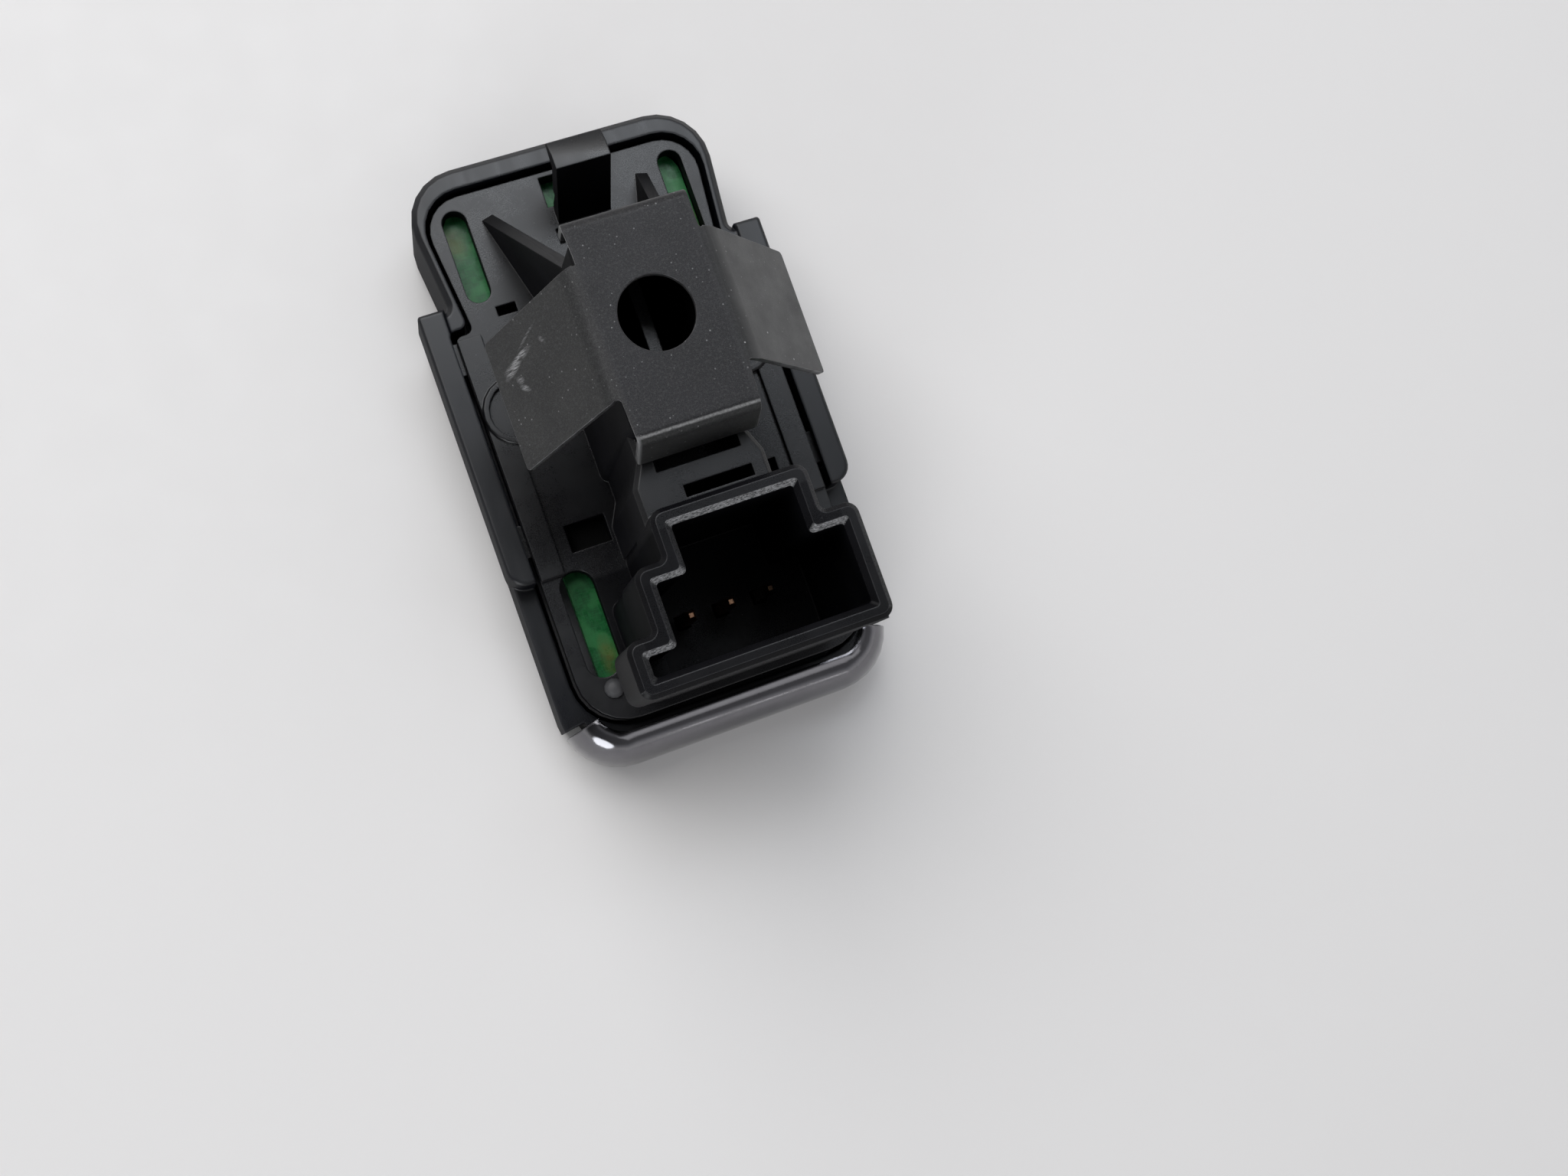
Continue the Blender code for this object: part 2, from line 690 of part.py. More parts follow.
def heat_stake(name, x, y):
    """Post with a melted dome on the back plate."""
    seat = PLATE_BACK + SOLDER_GAP
    rings = [
        at_level(circle(x, y, STAKE_RADIUS, SMALL_SIDES), FRAME_BACK - OVERLAP),
        at_level(circle(x, y, STAKE_RADIUS, SMALL_SIDES), seat),
        at_level(circle(x, y, STAKE_HEAD_RADIUS, SMALL_SIDES), seat),
    ]
    for part in DOME_LEVELS:
        radius = STAKE_HEAD_RADIUS * math.sqrt(1 - (DOME_FULLNESS * part) ** 2)
        ring = circle(x, y, radius, SMALL_SIDES)
        rings.append(at_level(ring, seat + STAKE_HEAD_HEIGHT * part))
    return loft(name, rings)


def circuit_board():
    """Green board, drilled for the stakes and the terminals."""
    half = BOARD_HALF
    low_y = INNER_END_Y + 2 * GAP
    high_y = INNER_TOP_Y - 2 * GAP
    outline = rectangle(-half, low_y, half, high_y, BOARD_CORNER)
    board = prism("circuit_board", outline, BOARD_FRONT, BOARD_BACK, "board_green")
    drills = [(x, y, STAKE_RADIUS + GAP) for x, y in stake_places()]
    drills += [(x, y, PIN_SIZE / math.sqrt(2) + PIN_CLEARANCE) for x, y in pin_places()]
    low = BOARD_FRONT - CUT_EXTRA
    high = BOARD_BACK + CUT_EXTRA
    for number, (x, y, radius) in enumerate(drills):
        drill = circle(x, y, radius, SMALL_SIDES)
        cut(board, prism(f"board_drill_{number}", drill, low, high))
    return board


def pin_places():
    """Terminals in a row across the wide part of the plug shroud."""
    y = SHROUD_END_Y + PIN_FROM_SHROUD_END
    first = PIN_ROW_X - (PIN_COUNT - 1) * PIN_PITCH / 2
    return [(first + i * PIN_PITCH, y) for i in range(PIN_COUNT)]


def terminal_pin(name, x, y):
    """Square pin with a pointed tip, soldered through the board."""
    half = PIN_SIZE / 2
    square = rectangle(x - half, y - half, x + half, y + half)
    tip = SHROUD_FLOOR_BACK + PIN_EXPOSED
    rings = [
        at_level(inset(square, FINE_EDGE), BOARD_FRONT - PIN_TAIL),
        at_level(square, BOARD_FRONT - PIN_TAIL + FINE_EDGE),
        at_level(square, tip - PIN_TIP),
        at_level(inset(square, PIN_TIP_TAPER), tip),
    ]
    return loft(name, rings, "contact_copper")


def push_switch(name, y):
    """Low square switch body with a round bore for its plunger."""
    half = SWITCH_SIZE / 2
    back = BOARD_FRONT - SOLDER_GAP
    front = back - SWITCH_HEIGHT
    outline = rectangle(-half, y - half, half, y + half, SWITCH_CORNER)
    body = prism(name, outline, front, back, "switch_steel")
    bore = circle(0, y, PLUNGER_RADIUS + GAP)
    cut(body, prism(name + "_bore", bore, front - CUT_EXTRA, back - SWITCH_BASE))
    return body


def plunger(name, y):
    """Round stem between a key's post and the inside of its switch; origin on its axis."""
    tip = KEY_RECESS + KEY_FACE + POST_LENGTH + GAP
    inner = BOARD_FRONT - SOLDER_GAP - SWITCH_HEIGHT + PLUNGER_IN
    outline = circle(0, 0, PLUNGER_RADIUS)
    stem = prism(name, outline, 0.0, inner - tip, "plunger_black", bottom=FINE_EDGE)
    stem.location = (0, y, tip)
    return stem


def on_board(name, centre, size, material, standoff=SOLDER_GAP):
    """Small block on the front side of the board, a standoff away from it."""
    back = BOARD_FRONT - standoff
    low = (centre[0] - size[0] / 2, centre[1] - size[1] / 2, back - size[2])
    high = (centre[0] + size[0] / 2, centre[1] + size[1] / 2, back)
    return box(name, low, high, material)


def controller_chip():
    """Eight-legged chip that serves the three-wire plug."""
    y = TOP_Y - CHIP_FROM_TOP
    chip = on_board("controller_chip", (0, y), CHIP_SIZE, "chip_black", 2 * SOLDER_GAP)
    back = BOARD_FRONT - SOLDER_GAP
    width, reach, height = CHIP_LEG
    edge = CHIP_SIZE[1] / 2
    for side in (-1, 1):
        y0, y1 = sorted((y + side * (edge - OVERLAP), y + side * (edge + reach)))
        for i in range(CHIP_LEG_PAIRS):
            x = (i - (CHIP_LEG_PAIRS - 1) / 2) * CHIP_LEG_PITCH
            low = (x - width / 2, y0, back - height)
            high = (x + width / 2, y1, back)
            join(chip, box(f"chip_leg_{side}_{i}", low, high))
    return chip


def load_resistor(number):
    """One of the small resistors in a row beside the chip."""
    y = TOP_Y - CHIP_FROM_TOP + (number - (RESISTOR_COUNT + 1) / 2) * RESISTOR_PITCH
    return on_board(f"load_resistor_{number}", (RESISTOR_X, y), RESISTOR_SIZE, "chip_black")


def shroud_corners(grow, foot):
    """Corners of the stepped plug outline, grown outwards by grow, anticlockwise."""
    left = [-x - grow for x in SHROUD_LEFT]
    right = [x + grow for x in SHROUD_RIGHT]
    top = SHROUD_TOP_Y + grow
    low = SHROUD_END_Y - grow
    step_a = SHROUD_TOP_Y - SHROUD_LEFT_STEPS[0] + grow
    step_b = SHROUD_TOP_Y - SHROUD_LEFT_STEPS[1] + grow
    step_r = SHROUD_TOP_Y - SHROUD_RIGHT_STEP + grow
    corners = [
        (right[1], low),
        (right[1], step_r),
        (right[0], step_r),
        (right[0], top),
        (left[0], top),
        (left[0], step_a),
        (left[1], step_a),
    ]
    if foot:
        return corners + [(left[1], step_b), (left[2], step_b), (left[2], low)]
    return corners + [(left[1], low)]


def shroud_outline(grow, corner, foot=True):
    """Rounded stepped outline; the corners that turn inwards have their own small radius."""
    inward = (2, 5, 7) if foot else (2, 5)
    corners = shroud_corners(grow, foot)
    turns = [SHROUD_INNER_CORNER if i in inward else corner for i in range(len(corners))]
    return rounded([(x, y, turn) for (x, y), turn in zip(corners, turns)])


def gusset(side):
    """Tall triangular rib from the tower towards the head's corner."""
    foot = Vector((side * GUSSET_FOOT_X, TOP_Y - GUSSET_FOOT_FROM_TOP))
    root = Vector((side * (TOWER_HALF_WIDTH - GUSSET_THICKNESS / 2), TOWER_TOP_Y - TOWER_WALL / 2))
    run = (foot - root).normalized()
    aside = Vector((-run.y, run.x)) * GUSSET_THICKNESS / 2
    top = TOWER_BACK - GUSSET_TOP_DROP
    low = PLATE_BACK - OVERLAP
    heel = PLATE_BACK + OVERLAP
    rings = []
    for offset in (aside, -aside):
        a = root + offset
        b = foot + offset
        rings.append([(a.x, a.y, low), (b.x, b.y, low), (b.x, b.y, heel), (a.x, a.y, top)])
    return loft("gusset_left" if side < 0 else "gusset_right", rings)


def hook_tab():
    """Leaning tab with a lip that hooks under the panel's edge."""
    outer = HOOK_Y + HOOK_THICKNESS
    low = PLATE_BACK - OVERLAP
    profile = [(HOOK_Y, low), (outer, low)]
    for lean, lip, height in HOOK_OUTER_SIDE:
        out = outer + lean * HOOK_LEAN + lip * HOOK_LIP
        profile.append((out, PLATE_BACK + height * HOOK_HEIGHT))
    profile.append((HOOK_Y + HOOK_LEAN, PLATE_BACK + HOOK_HEIGHT))
    half = HOOK_WIDTH / 2
    return across("hook_tab", profile, HOOK_X - half, HOOK_X + half)


def slot_outline(x, y, width, length):
    """Slot with round ends, along Y."""
    return around(x, y, width, length, width / 2 * SLOT_ROUNDING)


def plate_cuts(housing):
    """Everything that passes through the back plate."""
    z0 = PLATE_FRONT - CUT_EXTRA
    z1 = PLATE_BACK + CUT_EXTRA
    outlines = []
    for side in (-1, 1):
        for x, y, size in (
            (HEAD_HALF_WIDTH - HEAD_SLOT_FROM_SIDE, TOP_Y - HEAD_SLOT_FROM_TOP, HEAD_SLOT),
            (END_SLOT_X, END_Y + END_SLOT_FROM_END, END_SLOT),
        ):
            outlines.append(slot_outline(side * x, y, *size))
        for size, x, y in (
            (SQUARE_HOLE, side * SQUARE_HOLE_X, TOP_Y - SQUARE_HOLE_FROM_TOP),
            (VENT, side * VENT_X, END_Y + VENT_FROM_END),
        ):
            outlines.append(around(x, y, *size))
    half = HOOK_WIDTH / 2 + GAP
    inner = HOOK_Y - OVERLAP
    outer = HOOK_Y + HOOK_THICKNESS + OVERLAP
    plate_top = INNER_TOP_Y - GAP
    for y0, y1 in ((inner - HOOK_INNER_WINDOW, inner), (outer, plate_top - HOOK_WINDOW_RIM)):
        outlines.append(rectangle(HOOK_X - half, y0, HOOK_X + half, y1))
    for number, outline in enumerate(outlines):
        cut(housing, prism(f"plate_cutter_{number}", outline, z0, z1))
    for number, (x, y) in enumerate(stake_places()):
        hole = circle(x, y, STAKE_RADIUS + GAP / 2, SMALL_SIDES)
        cut(housing, prism(f"stake_hole_{number}", hole, z0, z1))


def edge_of_plate(housing):
    """Ledges, stop pads and snap lugs along both long sides of the back plate."""
    base = PLATE_BACK - OVERLAP
    for side in (-1, 1):
        x = sorted((side * (PLATE_HALF - LEDGE_WIDTH), side * (PLATE_HALF - LEDGE_INSET)))
        low = (x[0], RAIL_END_Y, base)
        high = (x[1], INNER_STEP_Y - 2 * GAP, PLATE_BACK + LEDGE_RISE)
        join(housing, box(f"ledge_{side}", low, high))
        pad = circle(side * PAD_X, PAD_Y, PAD_RADIUS)
        join(housing, prism(f"pad_{side}", pad, base, PLATE_BACK + PAD_RISE, top=FINE_EDGE))
        dish = circle(side * PAD_X, PAD_Y, PAD_RADIUS - PAD_RIM)
        floor = PLATE_BACK + PAD_RISE / 2
        cut(housing, prism(f"pad_dish_{side}", dish, floor, PLATE_BACK + CUT_EXTRA))
        x = sorted((side * (PLATE_HALF - OVERLAP), side * (PLATE_HALF + LUG_OUT)))
        for number, y in enumerate(LUG_PLACES):
            low = (x[0], y - LUG_LENGTH / 2, LUG_FRONT)
            high = (x[1], y + LUG_LENGTH / 2, LUG_FRONT + LUG_THICKNESS)
            join(housing, box(f"lug_{side}_{number}", low, high))


def clip_tower(housing):
    """Hollow tower under the clip, with its gussets and a low rib across the hollow."""
    base_half = TOWER_HALF_WIDTH + TOWER_DRAFT
    base_y = TOWER_TOP_Y + TOWER_DRAFT
    base = rectangle(-base_half, TOWER_END_Y, base_half, base_y, TOWER_CORNER)
    top = rectangle(-TOWER_HALF_WIDTH, TOWER_END_Y, TOWER_HALF_WIDTH, TOWER_TOP_Y, TOWER_CORNER)
    rings = [at_level(base, PLATE_BACK - OVERLAP), at_level(top, TOWER_BACK)]
    join(housing, loft("tower", rings))
    for side in (-1, 1):
        join(housing, gusset(side))

    half = TOWER_HALF_WIDTH - TOWER_WALL
    y0 = TOWER_END_Y + TOWER_WALL
    y1 = TOWER_TOP_Y - TOWER_WALL
    above = TOWER_BACK + CUT_EXTRA
    for side in (-1, 1):
        x0, x1 = sorted((side * half, side * WELL_RIB / 2))
        well = rectangle(x0, y0, x1, y1, WELL_CORNER)
        cut(housing, prism(f"well_{side}", well, PLATE_BACK + WELL_FLOOR, above))
    low = (-half, y0, TOWER_BACK - WELL_RIB_DROP)
    cut(housing, box("well_mouth", low, (half, y1, above)))


def latch_post(housing):
    """Post between tower and plug shroud, slotted for the plug's latch and the clip's leg."""
    root, shoulder = (-LATCH_POST_LEFT[0], LATCH_POST_RIGHT[0]), (-LATCH_POST_LEFT[1], LATCH_POST_RIGHT[1])
    top_y = TOWER_END_Y + OVERLAP
    low_y = SHROUD_TOP_Y - SHROUD_WALL / 2
    run = TOWER_END_Y - SHROUD_TOP_Y
    high, low = (TOWER_END_Y - share * run for share in LATCH_POST_SHOULDERS)
    outline = rounded(
        [
            (shoulder[0], low_y, 0.0),
            (shoulder[1], low_y, 0.0),
            (shoulder[1], low, LATCH_POST_ROUND),
            (root[1], high, LATCH_POST_ROUND),
            (root[1], top_y, 0.0),
            (root[0], top_y, 0.0),
            (root[0], high, LATCH_POST_ROUND),
            (shoulder[0], low, LATCH_POST_ROUND),
        ]
    )
    base = PLATE_BACK - OVERLAP
    join(housing, prism("latch_post", outline, base, LATCH_POST_BACK, top=EDGE))
    slots = (
        ("latch_slot", LATCH_SLOT, LATCH_SLOT_X, SHROUD_TOP_Y + LATCH_SLOT_FROM_SHROUD),
        ("leg_slot", LEG_SLOT, LEG_SLOT_X, TOWER_END_Y - LEG_SLOT[1] - CLIP_END_OVERHANG),
    )
    for name, (width, length, depth), x, y in slots:
        low = (x - width / 2, y, LATCH_POST_BACK - depth)
        high = (x + width / 2, y + length, LATCH_POST_BACK + CUT_EXTRA)
        cut(housing, box(name, low, high))


def plug_shroud(housing):
    """Stepped socket for the plug; its foot on one side starts above the plate."""
    root = shroud_outline(-SHROUD_COLLAR, SHROUD_CORNER, foot=False)
    foot_base = SHROUD_FOOT_FRONT + OVERLAP
    join(housing, prism("shroud_root", root, PLATE_BACK - OVERLAP, foot_base))
    shell = shroud_outline(0.0, SHROUD_CORNER)
    join(housing, prism("shroud", shell, SHROUD_FOOT_FRONT, SHROUD_BACK, top=EDGE))

    foot_floor = SHROUD_FOOT_FRONT + SHROUD_WALL
    well = shroud_outline(-SHROUD_WALL, CAVITY_CORNER, foot=False)
    cut(housing, prism("plug_well", well, SHROUD_FLOOR_BACK, foot_floor + OVERLAP))
    mouth = shroud_outline(-SHROUD_WALL, CAVITY_CORNER)
    cut(housing, prism("plug_mouth", mouth, foot_floor, SHROUD_BACK + CUT_EXTRA))
    wide = shroud_outline(2 * SHROUD_RIM - SHROUD_WALL, CAVITY_CORNER)
    rim = [at_level(mouth, SHROUD_BACK - SHROUD_RIM), at_level(wide, SHROUD_BACK + SHROUD_RIM)]
    cut(housing, loft("rim_cutter", rim))


def rear_housing():
    """Back plate with the tower, gussets, hook, latch post and stepped plug shroud."""
    outline = plan_outline(
        BODY_WALL + GAP,
        HEAD_WALL + GAP,
        INNER_END_Y + GAP,
        INNER_STEP_Y - GAP,
        INNER_TOP_Y - GAP,
        INNER_CORNER - GAP,
        HEAD_CORNER - HEAD_WALL - GAP,
    )
    housing = prism("rear_housing", outline, PLATE_FRONT, PLATE_BACK, "moulded_black")
    edge_of_plate(housing)
    latch_post(housing)
    clip_tower(housing)
    join(housing, hook_tab())
    plug_shroud(housing)
    plate_cuts(housing)
    side = PIN_SIZE + 2 * PIN_CLEARANCE
    low = PLATE_FRONT - CUT_EXTRA
    for number, (x, y) in enumerate(pin_places()):
        hole = around(x, y, side, side)
        cut(housing, prism(f"pin_hole_{number}", hole, low, SHROUD_FLOOR_BACK + OVERLAP))
    return housing


def wing_section(side):
    """(x, z, share) along one wing: from its root over the bend and down the slope."""
    angle = math.atan2(WING_DROP, WING_OUT)
    points = []
    for i in range(1, 4):
        turn = angle * i / 3
        points.append((WING_BEND * math.sin(turn), -WING_BEND * (1 - math.cos(turn))))
    x, z = points[-1]
    slope = (WING_OUT - x) / math.cos(angle)
    points.append((WING_OUT, z - slope * math.sin(angle)))
    return [
        (side * (CLIP_HALF_WIDTH + x), CLIP_BACK + z, x / WING_OUT) for x, z in points
    ]


def leg_section(lean_deg, length, steps=4):
    """(out, down) offsets of a leg: a bend of the given lean, then a straight run."""
    lean = math.radians(lean_deg)
    points = []
    for i in range(1, steps + 1):
        turn = lean * i / steps
        points.append((CLIP_BEND * math.sin(turn), CLIP_BEND * (1 - math.cos(turn))))
    out, down = points[-1]
    points.append((out + length * math.cos(lean), down + length * math.sin(lean)))
    return points


def strip(bm, first, rows):
    """Adds a strip of quads from the edge first through rows of two points."""
    low, high = first
    for row in rows:
        a, b = (bm.verts.new(point) for point in row)
        bm.faces.new((low, high, b, a))
        low, high = a, b


def spring_clip():
    """Folded sheet: a plate with a round hole, two sloping wings and a bent leg at each end."""
    bm = bmesh.new()
    root_high = CLIP_TOP_Y - WING_START_SHARE * CLIP_LENGTH
    root_low = root_high - WING_ROOT_SHARE * CLIP_LENGTH
    levels = [CLIP_END_Y, root_low, root_high, CLIP_TOP_Y]
    left = [bm.verts.new((-CLIP_HALF_WIDTH, y, CLIP_BACK)) for y in levels]
    right = [bm.verts.new((CLIP_HALF_WIDTH, y, CLIP_BACK)) for y in levels]
    for i in range(3):
        bm.faces.new((left[i], right[i], right[i + 1], left[i + 1]))
    for side, column in ((-1, left), (1, right)):
        rows = [
            ((x, root_low - share * WING_SWEEP_END, z), (x, root_high - share * WING_SWEEP_TOP, z))
            for x, z, share in wing_section(side)
        ]
        strip(bm, (column[1], column[2]), rows)
    half = CLIP_HALF_WIDTH - CLIP_LEG_INSET
    ends = (
        (0, CLIP_END_Y, -1, leg_section(CLIP_LEG_LEAN_DEG, CLIP_LEG_LENGTH)),
        (3, CLIP_TOP_Y, 1, leg_section(90.0, CLIP_TAIL_LENGTH)),
    )
    for index, y, way, section in ends:
        rows = [
            ((-half, y + way * out, CLIP_BACK - down), (half, y + way * out, CLIP_BACK - down))
            for out, down in section
        ]
        strip(bm, (left[index], right[index]), rows)
    bmesh.ops.recalc_face_normals(bm, faces=bm.faces)
    if sum(face.normal.z for face in bm.faces) < 0:
        bmesh.ops.reverse_faces(bm, faces=bm.faces)
    mesh = bpy.data.meshes.new("spring_clip")
    bm.to_mesh(mesh)
    bm.free()
    clip = place("spring_clip", mesh, "spring_steel")
    thick = clip.modifiers.new("sheet", "SOLIDIFY")
    thick.thickness = SHEET
    thick.offset = -1.0
    thick.use_even_offset = True

    hole_y = CLIP_TOP_Y - CLIP_HOLE_SHARE * CLIP_LENGTH
    hole = circle(-CLIP_HOLE_LEFT, hole_y, CLIP_HOLE_RADIUS, LARGE_SIDES)
    cut(clip, prism("clip_hole", hole, CLIP_FRONT - SHEET, CLIP_BACK + SHEET))
    for side in (-1, 1):
        notch_x = side * (CLIP_HALF_WIDTH + NOTCH_RADIUS / 2)
        notch = circle(notch_x, root_low, NOTCH_RADIUS, SMALL_SIDES)
        cut(clip, prism(f"clip_notch_{side}", notch, CLIP_FRONT - 2 * SHEET, CLIP_BACK + SHEET))
    return clip


def build():
    clear_scene()
    front_bezel()
    chrome_trim()
    inner_frame()
    circuit_board()
    rear_housing()
    spring_clip()
    for number, (x, y) in enumerate(pin_places(), start=1):
        terminal_pin(f"terminal_pin_{number}", x, y)
    for name, y in KEYS.items():
        rocker_key(name, y)
        for letter, side in (("a", 1), ("b", -1)):
            spot = y + side * POST_REACH
            push_switch(f"{name}_switch_{letter}", spot)
            plunger(f"{name}_plunger_{letter}", spot)
        on_board(f"{name}_led", (-LED_X, y), LED_SIZE, "led_white")
    controller_chip()
    capacitor_at = (-CAPACITOR_X, TOP_Y - CHIP_FROM_TOP)
    on_board("filter_capacitor", capacitor_at, CAPACITOR_SIZE, "ceramic_tan")
    for number in range(1, RESISTOR_COUNT + 1):
        load_resistor(number)


build()
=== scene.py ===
"""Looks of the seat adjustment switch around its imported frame: camera, light, finishes and fine parts."""

import json
import math

import bmesh
import bpy
from mathutils import Matrix, Vector


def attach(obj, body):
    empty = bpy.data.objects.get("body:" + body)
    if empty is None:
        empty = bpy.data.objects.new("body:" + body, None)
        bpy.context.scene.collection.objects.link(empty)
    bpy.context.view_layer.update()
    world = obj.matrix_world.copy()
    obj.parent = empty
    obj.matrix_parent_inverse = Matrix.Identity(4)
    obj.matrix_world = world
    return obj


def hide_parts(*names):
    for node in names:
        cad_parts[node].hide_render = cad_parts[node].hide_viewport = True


MM = 0.001
BODY = "switch_body"
BACKGROUND = (0.79, 0.785, 0.785)

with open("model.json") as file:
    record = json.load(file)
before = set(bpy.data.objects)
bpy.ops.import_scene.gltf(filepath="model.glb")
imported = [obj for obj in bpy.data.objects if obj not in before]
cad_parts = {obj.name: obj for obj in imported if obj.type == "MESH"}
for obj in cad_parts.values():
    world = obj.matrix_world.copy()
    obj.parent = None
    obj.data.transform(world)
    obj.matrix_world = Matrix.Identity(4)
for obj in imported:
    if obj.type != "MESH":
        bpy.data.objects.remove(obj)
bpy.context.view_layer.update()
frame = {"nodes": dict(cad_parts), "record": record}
nodes = frame["nodes"]


# ---- Camera, from the fit of the part's corners to the photograph
PHOTO_WIDTH = 2048
FOCAL_PIXELS = 2300
SENSOR = 36.0
# The camera's right, down and forward, and how far FIT_ORIGIN lies along each, in millimetres
FIT_ROWS = (
    (0.92336, -0.33797, 0.18216),
    (-0.32023, -0.93968, -0.12021),
    (0.21180, 0.05267, -0.97589),
)
FIT_SHIFT = Vector((-11.17, -27.666, 91.501))
FIT_ORIGIN = Vector((0.0, 17.4, 22.0))

turn = Matrix(FIT_ROWS)
camera_data = bpy.data.cameras.new("camera")
camera_data.sensor_width = SENSOR
camera_data.lens = SENSOR * FOCAL_PIXELS / PHOTO_WIDTH
camera_data.clip_start = 0.005
camera_data.clip_end = 12.0
camera = bpy.data.objects.new("camera", camera_data)
bpy.context.scene.collection.objects.link(camera)
centre = (-(turn.transposed() @ FIT_SHIFT) + FIT_ORIGIN) * MM
axes = Matrix((turn[0], -turn[1], -turn[2])).transposed()
camera.matrix_world = Matrix.Translation(centre) @ axes.to_4x4()
bpy.context.scene.camera = camera


# ---- Node helpers
class Nodes:
    """A node tree, with short calls that add and link its nodes."""

    def __init__(self, tree):
        self.tree = tree

    def add(self, kind, **settings):
        made = self.tree.nodes.new(kind)
        for key, value in settings.items():
            setattr(made, key, value)
        return made

    def feed(self, socket, value):
        """Links value to the socket, or sets it where value is a number, a vector or a colour."""
        if isinstance(value, bpy.types.NodeSocket):
            self.tree.links.new(value, socket)
        elif isinstance(value, tuple) and len(value) < len(socket.default_value):
            socket.default_value = (*value, 1.0)
        else:
            socket.default_value = value

    def calc(self, operation, first, second=0.0):
        made = self.add("ShaderNodeMath", operation=operation)
        self.feed(made.inputs[0], first)
        self.feed(made.inputs[1], second)
        return made.outputs[0]

    def times(self, first, *others):
        for other in others:
            first = self.calc("MULTIPLY", first, other)
        return first

    def band(self, value, low, high, to_low=0.0, to_high=1.0):
        """value from low to high becomes to_low to to_high, and stays between them."""
        made = self.add("ShaderNodeMapRange", clamp=True)
        self.feed(made.inputs["Value"], value)
        for name, number in (("From Min", low), ("From Max", high), ("To Min", to_low), ("To Max", to_high)):
            made.inputs[name].default_value = number
        return made.outputs["Result"]

    def between(self, value, low, high, soft):
        """1 from low to high, fading to 0 at both over soft."""
        return self.times(self.band(value, low, low + soft), self.band(value, high, high - soft))

    def vector(self, operation, first, second=(0.0, 0.0, 0.0)):
        made = self.add("ShaderNodeVectorMath", operation=operation)
        self.feed(made.inputs[0], first)
        self.feed(made.inputs[1], second)
        return made.outputs["Value" if operation in ("LENGTH", "DOT_PRODUCT") else "Vector"]

    def mix(self, share, first, second):
        """first where share is 0, second where it is 1."""
        made = self.add("ShaderNodeMix", data_type="RGBA")
        self.feed(made.inputs[0], share)
        self.feed(made.inputs[6], first)
        self.feed(made.inputs[7], second)
        return made.outputs[2]

    def parts(self, vector):
        """The X, Y and Z sockets of a vector."""
        made = self.add("ShaderNodeSeparateXYZ")
        self.feed(made.inputs[0], vector)
        return made.outputs

    def seen_rays(self):
        """1 for rays that show something: straight from the camera, mirrored or through glass."""
        ray = self.add("ShaderNodeLightPath")
        total = ray.outputs["Is Camera Ray"]
        for name in ("Is Glossy Ray", "Is Transmission Ray"):
            total = self.calc("MAXIMUM", total, ray.outputs[name])
        return total


